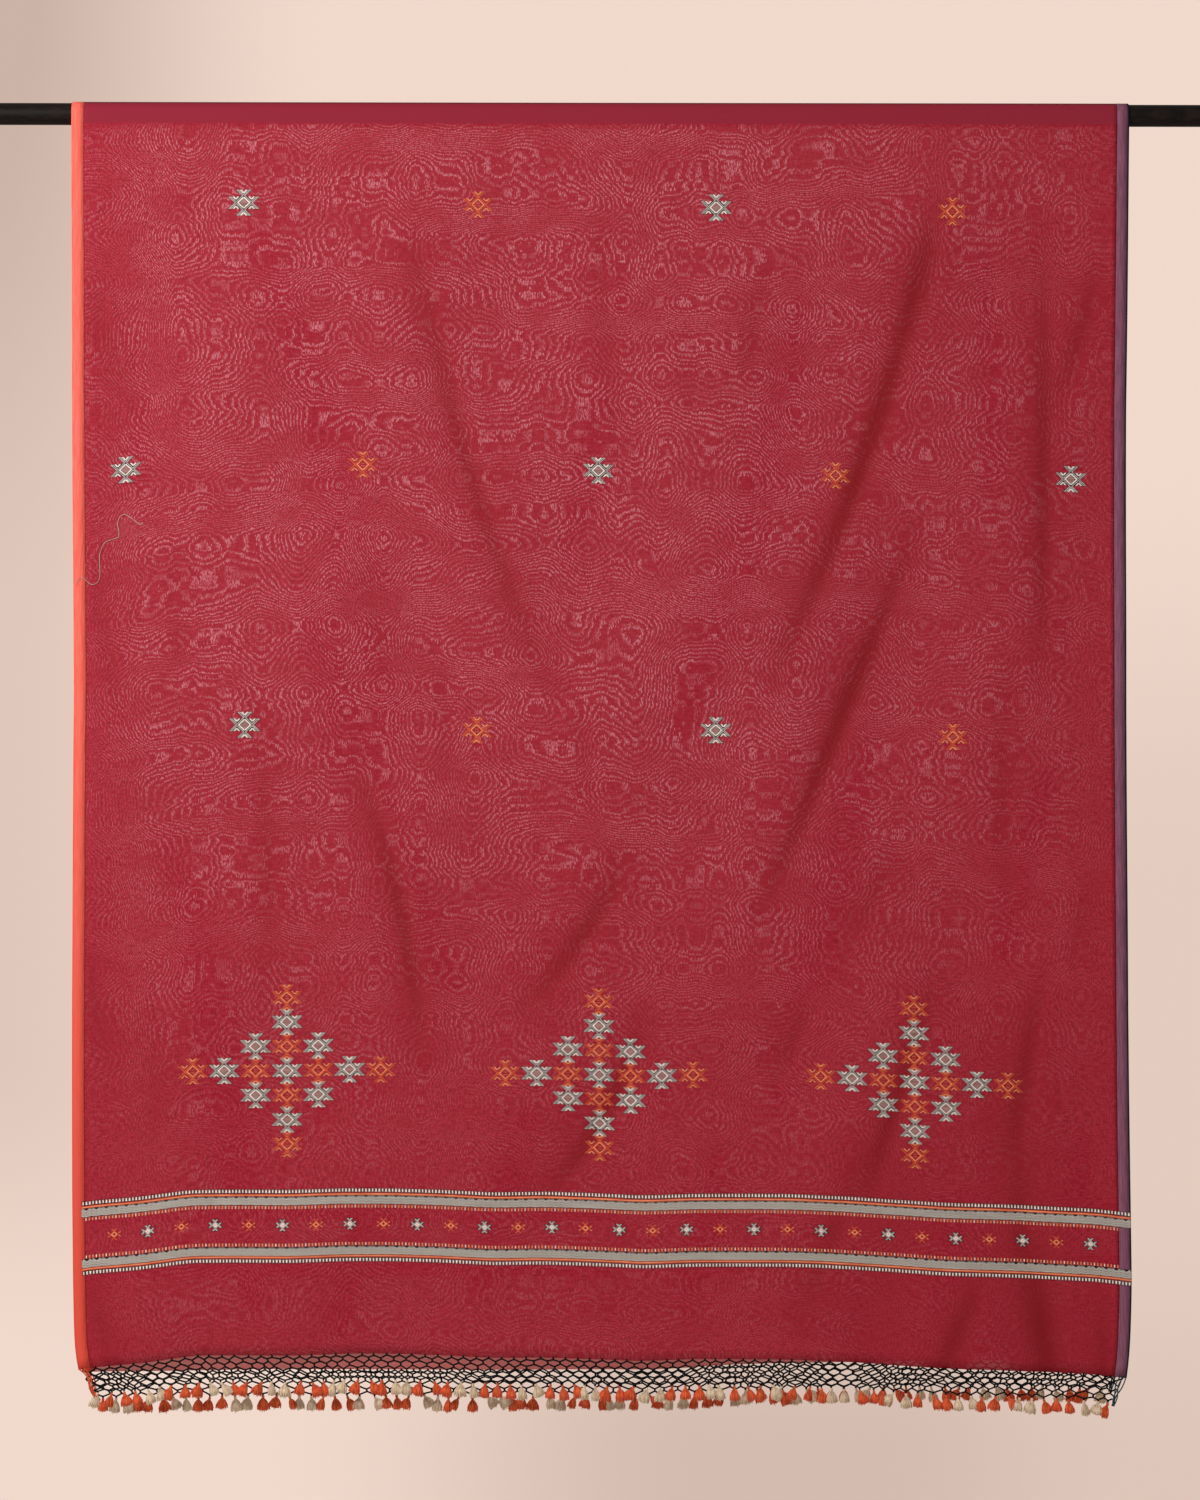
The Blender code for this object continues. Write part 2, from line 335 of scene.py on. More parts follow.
# %% Creases and ridges in front
# Creases (positive depth) and broad ridges (negative depth) from a top point to a foot point;
# bow is how far the middle swings sideways, and shade, in thousandths, how much painted shade
# darkens the colour inside
Fold = namedtuple("Fold", "top_x top_z foot_x foot_z bow half_width depth shade")
FRONT_FOLDS = in_metres(Fold, (
    (-160, -92, -33, -517, -17.9, 8.5, 1.8, 520),
    (-161, -73, -145, -226, -6.5, 7, 0.8, 220),
    (297, -68, 142, -514, 13.8, 9.5, 2.6, 850),
    (291, -91, 267, -200, 1.2, 11, 1.6, 450),
    (282, -351, 135, -717, 0.1, 8.5, 2.3, 800),
    (387, -85, 387, -520, 0.3, 8, 2, 620),
    (437, -127, 395, -264, 1.9, 8, 1.6, 500),
    (-219, -547, -151, -841, 11.2, 8, 1.9, 600),
    (28, -639, -73, -790, 8.4, 9, 2, 650),
    (40, -777, -55, -953, 15.3, 8.5, 2.2, 750),
    (-302, -496, -293, -781, 10, 8, 1, 300),
    (299, -745, 227, -975, -3, 9, 2.2, 700),
    (387, -738, 360, -924, -0.4, 8, 1.8, 550),
    (185, -764, 151, -850, 2.8, 8, 1.4, 400),
    (260, -636, 209, -735, 3.9, 8, 1.2, 320),
    (337, -1005, 285, -1130, 0.7, 10, 2, 600),
    (377, -985, 400, -1150, 0.5, 10.5, 2.2, 760),
    (437, -1010, 446, -1160, 0, 8, 1.2, 420),
    (242, -892, 174, -1068, -3.4, 9, 1.5, 400),
    (-1, -66, 17, -297, -1, 7, 0.8, 200),
    (149, -130, 127, -239, -2.6, 8, 1.1, 300),
    (358, -463, 363, -719, -7.7, 7, 1, 280),
    (-445, -144, -400, -265, -2.9, 7, 1, 280),
    (-439, -387, -411, -543, -1.3, 7, 0.9, 220),
    (-442, -727, -416, -848, -6.9, 7, 1.1, 300),
    (-206, -387, -178, -496, -0.4, 7, 0.7, 180),
    (-140, -463, -140, -604, 6.5, 7, 0.8, 200),
    (40, -931, 8, -1059, -0.9, 8, 0.8, 220),
    (-389, -771, -391, -925, 4.5, 7, 0.7, 180),
    (245, -450, 201, -533, 0.8, 12, 0.8, 250),
    (-370, -374, -365, -502, 0, 7, 0.5, 140),
    (373, -898, 377, -1039, -6, 8, 1.2, 350),
    (-441, -1015, -416, -1098, -4.7, 7, 1.3, 350),
    (431, -668, 409, -751, 1.1, 7, 0.9, 220),
    (-11, -514, -6, -617, -4.8, 7, 0.6, 150),
    (74, -156, 76, -271, 3.3, 6, 0.5, 120),
    (345, -760, 400, -1160, 0, 26, 1.4, 240),
    (290, -900, 215, -1140, 0, 22, 1.2, 180),
    (-350, -300, -330, -700, 0, 60, -1.8, 0),
    (30, -150, 60, -550, 0, 60, -2, 0),
    (-380, -900, -400, -1200, 0, 40, -1.8, 0),
    (210, -300, 230, -420, 0, 35, -1.4, 0),
))

# %% Creases and ridges behind
BACK_FOLDS = in_metres(Fold, (
    (-310, -80, -180, -560, 16, 9, 2.4, 650),
    (-260, -400, -120, -780, -12, 9, 2.1, 550),
    (180, -140, 60, -560, 14, 9, 2.1, 600),
    (240, -520, 150, -880, 4, 8.5, 2, 550),
    (-380, -620, -300, -1060, 10, 9, 2.2, 600),
    (20, -120, -40, -420, 6, 8, 1.2, 300),
    (400, -560, 350, -760, -4, 8, 1.4, 350),
    (-60, -860, -110, -1040, 5, 8.5, 1.6, 400),
    (330, -100, 345, -360, 6, 7.5, 1, 250),
    (-410, -180, -395, -340, -4, 7, 1, 250),
    (110, -900, 70, -1060, 3, 8, 1.4, 350),
    (300, -940, 330, -1090, -2, 9, 2, 600),
    (-200, -930, -235, -1080, 2, 8, 1.2, 300),
    (425, -880, 410, -1010, 3, 7, 1, 250),
    (360, -250, 390, -800, 0, 50, -2, 0),
    (-20, -700, 50, -1180, 0, 50, -2.2, 0),
))
print("creases and ridges:", len(FRONT_FOLDS), "in front,", len(BACK_FOLDS), "behind")


# %% Reading the tables smoothly
SAMPLES = 600


def smooth_column(table, key, value, spread):
    """A table's value column as an evenly sampled curve with its corners rounded off."""
    keys = np.array([getattr(row, key) for row in table])
    values = np.array([getattr(row, value) for row in table])
    places = np.linspace(keys[0], keys[-1], SAMPLES)
    reach = max(2, round(spread / (places[1] - places[0])))
    window = np.hanning(2 * reach + 1)[1:-1]
    padded = np.pad(np.interp(places, keys, values), reach - 1, mode="reflect", reflect_type="odd")
    return places, np.convolve(padded, window / window.sum(), mode="valid")


LEFT_EDGE = smooth_column(EDGES, "down", "left", 0.03)
RIGHT_EDGE = smooth_column(EDGES, "down", "right", 0.03)
FRONT_SAG = smooth_column(FRONT_COURSE, "across", "sag", 0.018)
BACK_SAG = smooth_column(BACK_COURSE, "across", "sag", 0.04)
print("most sag in front, metres:", round(float(FRONT_SAG[1].max()), 4))


# %% How the folds act
LINE_PUSH, SHOULDER_PUSH, RIDGE_PUSH = 0.7, 0.45, 0.3
LINE_SHADE, SHOULDER_SHADE = 0.8, 0.2
SHOULDER = 2.8


def ease(share):
    """Goes from 0 to 1 with a soft start and a soft end."""
    share = np.clip(share, 0.0, 1.0)
    return share * share * (3.0 - 2.0 * share)


def fold_shares(folds, x, z):
    """For each fold, how strongly every point feels its line and its wide soft shoulders."""
    for fold in folds:
        run_x = fold.foot_x - fold.top_x
        run_z = fold.foot_z - fold.top_z
        length = math.hypot(run_x, run_z)
        from_x, from_z = x - fold.top_x, z - fold.top_z
        share = np.clip((from_x * run_x + from_z * run_z) / length**2, 0.0, 1.0)
        off = from_x * -run_z / length + from_z * run_x / length
        off -= fold.bow * 4.0 * share * (1.0 - share)
        fade = np.sin(np.pi * share) ** 0.8
        line = fade * np.exp(-((off / fold.half_width) ** 2))
        shoulder = fade * np.exp(-((off / (SHOULDER * fold.half_width)) ** 2))
        yield fold, line, shoulder


def fold_depth(folds, x, z):
    """How far the folds push the cloth in, fading out at both ends of each fold."""
    depth = np.zeros_like(x)
    for fold, line, shoulder in fold_shares(folds, x, z):
        rest = SHOULDER_PUSH * shoulder if fold.shade else RIDGE_PUSH * line
        depth += fold.depth * (LINE_PUSH * line + rest)
    return depth


def fold_shade(folds, x, z):
    """How much painted shade darkens the colour inside the creases, from 0 to 1."""
    clear = np.ones_like(x)
    for fold, line, shoulder in fold_shares(folds, x, z):
        clear *= 1.0 - fold.shade * (LINE_SHADE * line + SHOULDER_SHADE * shoulder)
    return 1.0 - clear


def breathing(x, z):
    """Broad, shallow unevenness that a light handwoven cloth always has."""
    return 0.0007 * (
        np.sin(31.0 * x + 9.0 * z + 0.6)
        + np.sin(-17.0 * x + 23.0 * z + 2.1)
        + 0.8 * np.sin(43.0 * x - 12.0 * z + 4.0)
    )


# %% Hanging flat points on the rod
SAG_GROWS_OVER = 0.25
FOLDS_GROW_OVER = 0.10


def hang(flat):
    """Carries flat points (across, run, lift) to their hanging place."""
    across, run, lift = flat[:, 0], flat[:, 1], flat[:, 2]
    in_front = run < 0.0
    facing = np.where(in_front, -1.0, 1.0)
    length = np.abs(run)
    down = np.maximum(length - QUARTER_TURN, 0.0)
    share = across / (2.0 * HALF_WIDTH) + 0.5
    left, right = np.interp(down, *LEFT_EDGE), np.interp(down, *RIGHT_EDGE)
    x = left + (right - left) * share
    sag = np.where(in_front, np.interp(across, *FRONT_SAG), np.interp(across, *BACK_SAG))
    z_hung = -(down + sag * ease(down / SAG_GROWS_OVER))
    settled = ease(down / np.where(in_front, FRONT_DROP, BACK_DROP))
    half_gap = TURN_RADIUS + (HEM_HALF_GAP - TURN_RADIUS) * settled
    front_folds, back_folds = fold_depth(FRONT_FOLDS, x, z_hung), fold_depth(BACK_FOLDS, x, z_hung)
    folds = np.where(in_front, front_folds, back_folds)
    half_gap -= (folds + breathing(x, facing + z_hung)) * ease(down / FOLDS_GROW_OVER)
    angle = np.minimum(length, QUARTER_TURN) / TURN_RADIUS
    y_turn = (TURN_RADIUS + lift) * np.sin(angle)
    z_turn = (TURN_RADIUS + lift) * np.cos(angle)
    on_rod = length < QUARTER_TURN
    y = facing * np.where(on_rod, y_turn, half_gap + lift)
    return np.stack([x, y, np.where(on_rod, z_turn, z_hung)], axis=1)


probe = hang(np.array([[0.0, 0.0, 0.0], [0.0, -FRONT_RUN, 0.0], [0.0, BACK_RUN, 0.0]]))
print("ridge, front hem, back hem:", probe.round(4).tolist())

# %% [markdown]
# ## Finishes
#
# Yarn is never one flat colour: each thread takes the dye a little differently and the
# spinning leaves thick and thin places. One node group gives that streaky change, stretched
# along both ways the threads run. A second group draws the watered look, or moiré, that two
# sheer layers make together. The yarns of one layer slip a little past those of the other,
# weft past weft and warp past warp. Counted in yarns, the two slips are added up, and the
# cosine of the sum gives a pale line wherever the layers fall out of step.

# %% The moiré group
group, entry, leave = new_group(
    "moire_lines", {"Cloth Place": None, "Weft Slip": 34.0, "Warp Slip": 28.0}, ["Lines"]
)
place = entry.outputs["Cloth Place"]
split = group.nodes.new("ShaderNodeSeparateXYZ")
group.links.new(place, split.inputs["Vector"])


def slip(scale, seed, amount):
    """How far one set of yarns has slipped past the other layer's, counted in yarns."""
    drift = math_node(group, "SUBTRACT", scaled_noise(group, place, scale, 1.2, seed), 0.5)
    return math_node(group, "MULTIPLY", drift, amount)


BEATS_PER_METRE = 32.0
EDGE_BEATS = 20.0
FRAY = 1.15
ticks = scaled_noise(group, place, (900.0, 280.0, 1.0), 1.0, 3.0)
edge = ramp_between(group, split.outputs["X"], -0.46, -0.37)
phase = math_node(group, "MULTIPLY", split.outputs["Y"], BEATS_PER_METRE)
for part in (
    slip((2.8, 13.5, 1.0), 1.0, entry.outputs["Weft Slip"]),
    slip((14.0, 3.6, 1.0), 2.0, entry.outputs["Warp Slip"]),
    slip((5.0, 170.0, 1.0), 6.0, 1.2),
    slip((170.0, 7.0, 1.0), 7.0, 0.8),
    math_node(group, "MULTIPLY", edge, EDGE_BEATS),
    math_node(group, "MULTIPLY", math_node(group, "SUBTRACT", ticks, 0.5), FRAY),
):
    phase = math_node(group, "ADD", phase, part)
beat = math_node(group, "COSINE", math_node(group, "MULTIPLY", phase, 2.0 * math.pi))
clear = ramp_between(group, scaled_noise(group, place, (24.0, 36.0, 1.0), 2.0, 5.0), 0.34, 0.60)
contrast = math_node(group, "ADD", math_node(group, "MULTIPLY", clear, 0.62), 0.42)
brush = ramp_between(group, ticks, 0.34, 0.62)
lines = math_node(group, "MULTIPLY", ramp_between(group, beat, 0.10, 0.95), brush)
group.links.new(math_node(group, "MULTIPLY", lines, contrast), leave.inputs["Lines"])
MOIRE = group
print("nodes in the moiré group:", len(MOIRE.nodes))

# %% The yarn streak group
STREAKS, entry, leave = new_group("yarn_streaks", {"Place": None}, ["Warpwise", "Weftwise"])
place = entry.outputs["Place"]
for way, scale, seed in (
    ("Warpwise", (950.0, 220.0, 1.0), 3.0),
    ("Weftwise", (150.0, 800.0, 1.0), 4.0),
):
    STREAKS.links.new(scaled_noise(STREAKS, place, scale, 1.0, seed), leave.inputs[way])


def use_group(tree, group_tree, vector, vector_name):
    """Places a node group in a material and feeds it a place on the cloth."""
    node = tree.nodes.new("ShaderNodeGroup")
    node.node_tree = group_tree
    tree.links.new(vector, node.inputs[vector_name])
    return node


def flat_place(tree):
    """The place on the cloth before it was hung, kept as its UV map."""
    node = tree.nodes.new("ShaderNodeUVMap")
    node.uv_map = "flat"
    return node.outputs["UV"]


def painted(tree, name):
    """A share kept on the mesh's points under a name."""
    node = tree.nodes.new("ShaderNodeAttribute")
    node.attribute_name = name
    return node.outputs["Fac"]


# %% [markdown]
# ### The ground's finish
#
# The colour is built up in layers, each one a blend by a share that changes over the cloth:
# streaks, moiré lines, painted shade in the creases, the last warps by each selvedge, and
# painted shade on the strip over the rod and along the top of the turn. The cloth is sheer,
# so its alpha is below one. In a crease the yarns crowd together and cover fully, so the alpha
# rises there. The back layer is a little longer, and its last strip hangs alone. Light passes
# one layer more easily than two, so that strip gets painted light that makes it paler.

# %% The ground's colours
GROUND_LIGHT = (0.51, 0.022, 0.050)
GROUND_DARK = (0.39, 0.009, 0.027)
# Colour of the painted shade inside the creases, also used for the dark line by each selvedge
CREASE_SHADE_AND_EDGE_LINE = (0.222, 0.0055, 0.0090)
GROUND_PINK = (0.76, 0.230, 0.290)
# Painted shade where the dark rod lies under the cloth
OVER_ROD_SHADE = (0.385, 0.026, 0.055)
ROD_SHADE_END = QUARTER_TURN + 0.0095
SHEER_COVER = 0.69
# Deeper painted shade where the yarns crowd in a crease
CROWDED_SHADE_COLOUR = (0.26, 0.018, 0.028)
# Painted shade along the top of the turn over the rod
RIDGE_SHADE_COLOUR = (0.10, 0.006, 0.012)
# Painted light on the back layer's last strip, which hangs alone below the front hem
SINGLE_LAYER_LIGHT = (0.96, 0.19, 0.195)
SINGLE_FROM = BACK_RUN - 0.018
SINGLE_BY = BACK_RUN - 0.014


# %% The ground cloth's material
def ground_material():
    """Semi-sheer crimson weave: streaky yarn, moiré, painted shade in folds and over the dark rod,
    painted light on a strip.
    """
    material, tree, shader = new_material("ground_weave")
    place = flat_place(tree)
    streaks = use_group(tree, STREAKS, place, "Place")
    moire = use_group(tree, MOIRE, place, "Cloth Place")

    threads = math_node(tree, "ADD", streaks.outputs["Warpwise"], streaks.outputs["Weftwise"])
    threads = ramp_between(tree, threads, 0.76, 1.24)
    colour = blend_colours(tree, threads, GROUND_DARK, GROUND_LIGHT)
    lines = math_node(tree, "ADD", math_node(tree, "MULTIPLY", moire.outputs["Lines"], 0.96), 0.04)
    lines = math_node(tree, "MULTIPLY", lines, painted(tree, "moire"))
    colour = blend_colours(tree, lines, colour, GROUND_PINK)
    # The crease attribute gives each point's painted shade in the creases.
    crease_shade = painted(tree, "crease_shade")
    # Where the yarns crowd in a crease the alpha rises, and painted shade darkens the colour.
    crowded_and_shaded = ramp_between(tree, crease_shade, -0.02, 0.20)
    crowded_shade = math_node(tree, "MULTIPLY", crowded_and_shaded, 0.42)
    colour = blend_colours(tree, crowded_shade, colour, CROWDED_SHADE_COLOUR)
    colour = blend_colours(tree, crease_shade, colour, CREASE_SHADE_AND_EDGE_LINE)

    split = tree.nodes.new("ShaderNodeSeparateXYZ")
    tree.links.new(place, split.inputs["Vector"])
    # Painted light makes the back's lone strip below the front hem paler.
    below_front_light = ramp_between(tree, split.outputs["Y"], SINGLE_FROM, SINGLE_BY)
    colour = blend_colours(tree, below_front_light, colour, SINGLE_LAYER_LIGHT)
    from_ridge = math_node(tree, "ABSOLUTE", split.outputs["Y"])
    from_middle = math_node(tree, "ABSOLUTE", split.outputs["X"])
    last_warps = ramp_between(tree, from_middle, FIELD_HALF - 0.0012, FIELD_HALF - 0.0006)
    last_warps = math_node(tree, "MULTIPLY", last_warps, 0.55)
    colour = blend_colours(tree, last_warps, colour, CREASE_SHADE_AND_EDGE_LINE)
    # Painted shade on the strip of cloth that covers the dark rod.
    over_rod_shade = ramp_between(tree, from_ridge, ROD_SHADE_END + 0.0006, ROD_SHADE_END - 0.0006)
    colour = blend_colours(tree, over_rod_shade, colour, OVER_ROD_SHADE)
    # Painted shade along the top of the turn, darker than the rest over the rod.
    ridge = math_node(tree, "MULTIPLY", ramp_between(tree, from_ridge, 0.0070, 0.0050), 0.75)
    colour = blend_colours(tree, ridge, colour, RIDGE_SHADE_COLOUR)
    tree.links.new(colour, shader.inputs["Base Color"])
    shader.inputs["Roughness"].default_value = 0.75
    shader.inputs["Specular IOR Level"].default_value = 0.15
    closing = math_node(tree, "MULTIPLY", crowded_and_shaded, 1.0 - SHEER_COVER)
    tree.links.new(math_node(tree, "ADD", closing, SHEER_COVER), shader.inputs["Alpha"])

    add_bump(tree, shader, threads, 0.2, 0.00006)
    return material


# %% A material for coloured yarn
ALONG_Z = (700.0, 700.0, 60.0)


def yarn_material(name, light, dark, scale=ALONG_Z, gloss=0.25, sheen=0.0, foot_shade_colour=None):
    """Cotton yarn: two shades of one dye, streaked along it, and darker towards the foot with
    painted shade when a foot colour is given.
    """
    material, tree, shader = new_material(name)
    mapping = tree.nodes.new("ShaderNodeMapping")
    mapping.inputs["Scale"].default_value = scale
    place = tree.nodes.new("ShaderNodeTexCoord").outputs["Object"]
    tree.links.new(place, mapping.inputs["Vector"])
    noise = tree.nodes.new("ShaderNodeTexNoise")
    noise.inputs["Scale"].default_value = 1.0
    noise.inputs["Detail"].default_value = 2.0
    tree.links.new(mapping.outputs["Vector"], noise.inputs["Vector"])
    shade = ramp_between(tree, noise.outputs["Fac"], 0.30, 0.70)
    colour = blend_colours(tree, shade, dark, light)
    if foot_shade_colour is not None:
        split = tree.nodes.new("ShaderNodeSeparateXYZ")
        tree.links.new(place, split.inputs["Vector"])
        # Painted shade: the yarn darkens towards the foot, where less light falls.
        wear_and_foot_shade = ramp_between(tree, split.outputs["Z"], -0.25, -1.15)
        colour = blend_colours(tree, wear_and_foot_shade, colour, foot_shade_colour)
    tree.links.new(colour, shader.inputs["Base Color"])
    shader.inputs["Roughness"].default_value = 0.8
    shader.inputs["Specular IOR Level"].default_value = gloss
    shader.inputs["Sheen Weight"].default_value = sheen
    add_bump(tree, shader, shade, 0.4, 0.0003)
    return material


# %% The dyes
WEFTWISE = (60.0, 700.0, 1100.0)
GROUND = ground_material()
# The orange warp gets painted shade towards the foot.
ORANGE_WARP = yarn_material(
    "orange_warp", (1.0, 0.185, 0.140), (0.93, 0.130, 0.098), foot_shade_colour=(0.78, 0.080, 0.052)
)
PLUM_WARP = yarn_material("plum_warp", (0.275, 0.098, 0.165), (0.185, 0.064, 0.112))
NAVY_EDGE = yarn_material("navy_edge", (0.018, 0.016, 0.034), (0.008, 0.007, 0.016), gloss=0.1)
CREAM_WEFT = yarn_material("cream_weft", (0.95, 0.90, 0.83), (0.76, 0.69, 0.62), WEFTWISE)
GREY_WEFT = yarn_material("grey_weft", (0.62, 0.57, 0.55), (0.38, 0.33, 0.32), WEFTWISE)
ROSE_WEFT = yarn_material("rose_weft", (0.46, 0.25, 0.24), (0.27, 0.12, 0.12), WEFTWISE)
BLACK_WEFT = yarn_material(
    "black_weft", (0.022, 0.012, 0.012), (0.008, 0.005, 0.006), WEFTWISE, gloss=0.1
)
ORANGE_WEFT = yarn_material("orange_weft", (0.80, 0.130, 0.050), (0.56, 0.062, 0.024), WEFTWISE)
APRICOT_WEFT = yarn_material("apricot_weft", (0.95, 0.38, 0.19), (0.76, 0.21, 0.09), WEFTWISE)
BLACK_CORD = yarn_material("black_cord", (0.010, 0.007, 0.008), (0.004, 0.003, 0.004), gloss=0.1)
TEAL_CORD = yarn_material("teal_cord", (0.030, 0.080, 0.090), (0.012, 0.035, 0.042), gloss=0.15)
RUST_COTTON = yarn_material("rust_cotton", (0.88, 0.155, 0.050), (0.55, 0.062, 0.016), sheen=0.1)
CREAM_COTTON = yarn_material("cream_cotton", (0.88, 0.72, 0.54), (0.62, 0.45, 0.29), sheen=0.1)
LOOSE_COTTON = yarn_material("loose_cotton", (0.62, 0.50, 0.44), (0.42, 0.30, 0.26))
print("materials:", len(bpy.data.materials))

# %% [markdown]
# ## The ground cloth
#
# The ground is one sheet between the two selvedges, from the front hem over the rod to the
# back hem. It starts as a flat grid made by one operator. Its flat coordinates become its UV
# map, so the weave pattern follows the threads wherever the cloth goes, and then `hang`
# carries it to the rod. A Solidify modifier gives the thread thickness.


def finish_piece(name, bm, material, nodes, smooth=True):
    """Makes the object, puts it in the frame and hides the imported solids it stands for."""
    mesh = bpy.data.meshes.new(name)
    bm.to_mesh(mesh)
    bm.free()
    if smooth:
        mesh.shade_smooth()
    mesh.materials.append(material)
    piece = bpy.data.objects.new(name, mesh)
    bpy.context.scene.collection.objects.link(piece)
    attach(piece, "root")
    if nodes:
        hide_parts(*nodes)
    print(name, "triangles:", sum(len(face.vertices) - 2 for face in mesh.polygons))
    return piece


def hang_bmesh(bm):
    """Keeps each flat place as UV, then carries every point to the rod."""
    layer = bm.loops.layers.uv.new("flat")
    for face in bm.faces:
        for loop in face.loops:
            loop[layer].uv = loop.vert.co.xy
    hung = hang(np.array([vert.co for vert in bm.verts]))
    for vert, place in zip(bm.verts, hung):
        vert.co = place


# %% A flat sheet ready to hang
TURN_REACH = 0.022
FINE_ROW = 0.0024
ROW = 0.0105


def row_places():
    """Where the mesh rows lie along the run: close together over the rod, wider below it."""
    turn = np.linspace(-TURN_REACH, TURN_REACH, round(2 * TURN_REACH / FINE_ROW) + 1)
    front = np.linspace(-FRONT_RUN, -TURN_REACH, round((FRONT_RUN - TURN_REACH) / ROW) + 1)
    back = np.linspace(TURN_REACH, BACK_RUN, round((BACK_RUN - TURN_REACH) / ROW) + 1)
    return np.concatenate([front[:-1], turn, back[1:]])


ROWS = row_places()
print("rows along the cloth:", len(ROWS) - 1)


def flat_sheet(left, right, columns):
    """A flat grid between two lines across, from the front hem to the back hem."""
    bm = bmesh.new()
    bmesh.ops.create_grid(bm, x_segments=columns, y_segments=len(ROWS) - 1, size=0.5)
    for vert in bm.verts:
        row = round((vert.co.y + 0.5) * (len(ROWS) - 1))
        vert.co = (left + (vert.co.x + 0.5) * (right - left), ROWS[row], 0.0)
    return bm


def thicken(piece, thickness):
    """Gives a sheet its thickness, half to each side."""
    wall = piece.modifiers.new("thread_thickness", "SOLIDIFY")
    wall.thickness = thickness
    wall.offset = 0.0


# %% Weave the ground
CLOTH_THICKNESS = 0.0003
COLUMN = 0.0043
bm = flat_sheet(-FIELD_HALF, FIELD_HALF, round(2 * FIELD_HALF / COLUMN))
flat_places = np.array([vert.co for vert in bm.verts])
hang_bmesh(bm)
ground = finish_piece(
    "ground_cloth", bm, GROUND, ("front_field", "turn_field", "back_field")
)

# %% Mark the troughs' painted shade and the watered places
hung_places = np.array([vert.co for vert in ground.data.vertices])
front = flat_places[:, 1] < 0.0
shades = np.where(
    front,
    fold_shade(FRONT_FOLDS, hung_places[:, 0], hung_places[:, 2]),
    fold_shade(BACK_FOLDS, hung_places[:, 0], hung_places[:, 2]),
)
# Each point keeps how much painted shade it gets from the creases.
crease_shade = ground.data.attributes.new("crease_shade", "FLOAT", "POINT")
crease_shade.data.foreach_set("value", shades.astype(np.float32))
flat_x, flat_y = flat_places[:, 0], flat_places[:, 1]
edge_room = np.minimum(flat_x + HALF_WIDTH, HALF_WIDTH - flat_x)
from_hem = np.where(front, flat_y + FRONT_RUN, BACK_RUN - flat_y)
watered = 0.5 + 0.5 * ease((edge_room - 0.015) / 0.06)
watered *= 0.3 + 0.7 * ease((from_hem - 0.10) / 0.55)
watered *= 1.0 - 0.4 * ease((flat_x - 0.10) / 0.30)
watered *= ease((np.abs(flat_y) - TURN_REACH) / 0.008)
moire = ground.data.attributes.new("moire", "FLOAT", "POINT")
moire.data.foreach_set("value", watered.astype(np.float32))
thicken(ground, CLOTH_THICKNESS)
print("deepest crease shade:", round(float(shades.max()), 3))

# %% [markdown]
# ## The selvedges
#
# A selvedge is the firm edge of a woven cloth, where the weft turns back. Its warp is packed
# closer and dyed differently here, so it is nearly solid: orange at one side and plum at
# the other, with one navy thread along the plum edge.

# %% Weave the selvedges
SELVEDGE_THICKNESS = 0.0004
NAVY_LEFT = HALF_WIDTH - 0.0014


def selvedge(name, left, right, material, nodes):
    """A narrow firm strip from hem to hem."""
    bm = flat_sheet(left, right, 2)
    hang_bmesh(bm)
    piece = finish_piece(name, bm, material, nodes)
    thicken(piece, SELVEDGE_THICKNESS)


selvedge(
    "orange_selvedge", -HALF_WIDTH, -FIELD_HALF, ORANGE_WARP,
    ("front_orange_selvedge", "turn_orange_selvedge", "back_orange_selvedge"),
)
selvedge(
    "plum_selvedge", FIELD_HALF, NAVY_LEFT, PLUM_WARP,
    ("front_purple_selvedge", "turn_purple_selvedge", "back_purple_selvedge"),
)
selvedge("navy_edge_thread", NAVY_LEFT, HALF_WIDTH, NAVY_EDGE, ())

# %% [markdown]
# ## Strokes of extra weft
#
# The stars and borders are woven with extra weft: short floats of thick yarn lying on top of
# the ground. Each float is a stroke, a narrow flat strip of a given width. A few strokes make
# a figure, and mirroring them gives the whole star, as the weaver's own counting does.
# One bmesh for each yarn colour collects all the strokes of one end of the cloth. It is then
# used twice: slid to the front end, and turned half round for the back end.

# %% Strokes
YARNS = {
    "black": BLACK_WEFT,
    "rose": ROSE_WEFT,
    "grey": GREY_WEFT,
    "cream": CREAM_WEFT,
    "orange": ORANGE_WEFT,
    "apricot": APRICOT_WEFT,
}
LIFT = {
    "black": 0.00038, "rose": 0.00044, "grey": 0.00044, "orange": 0.00044,
    "cream": 0.00050, "apricot": 0.00050,
}
NUDGE = 0.000012
weft = {colour: bmesh.new() for colour in YARNS}
STROKE_STEP = 0.0035

Stroke = namedtuple("Stroke", "colour x0 y0 x1 y1 width")


def lay_stroke(colour, start, end, width, lift=None, taper=1.0):
    """A float of yarn from start to end, cut level at both ends; taper changes its far width."""
    start, end = Vector(start), Vector(end)
    along = end - start
    if abs(along.y) > 0.2 * abs(along.x):
        side = Vector((-math.copysign(width * along.length / abs(along.y), along.y), 0.0))
    else:
        side = along.orthogonal().normalized() * width
    height = LIFT[colour] if lift is None else lift
    steps = max(1, math.ceil(along.length / STROKE_STEP))
    made = bmesh.ops.create_grid(weft[colour], x_segments=steps, y_segments=1, size=0.5)
    for vert in made["verts"]:
        share, across = vert.co.x, vert.co.y
        across *= 1.0 + (taper - 1.0) * (share + 0.5)
        flat = (start + end) / 2 + along * share + side * across
        vert.co = (flat.x, flat.y, height)


FOUR_WAYS = ((1, 1), (-1, 1), (1, -1), (-1, -1))


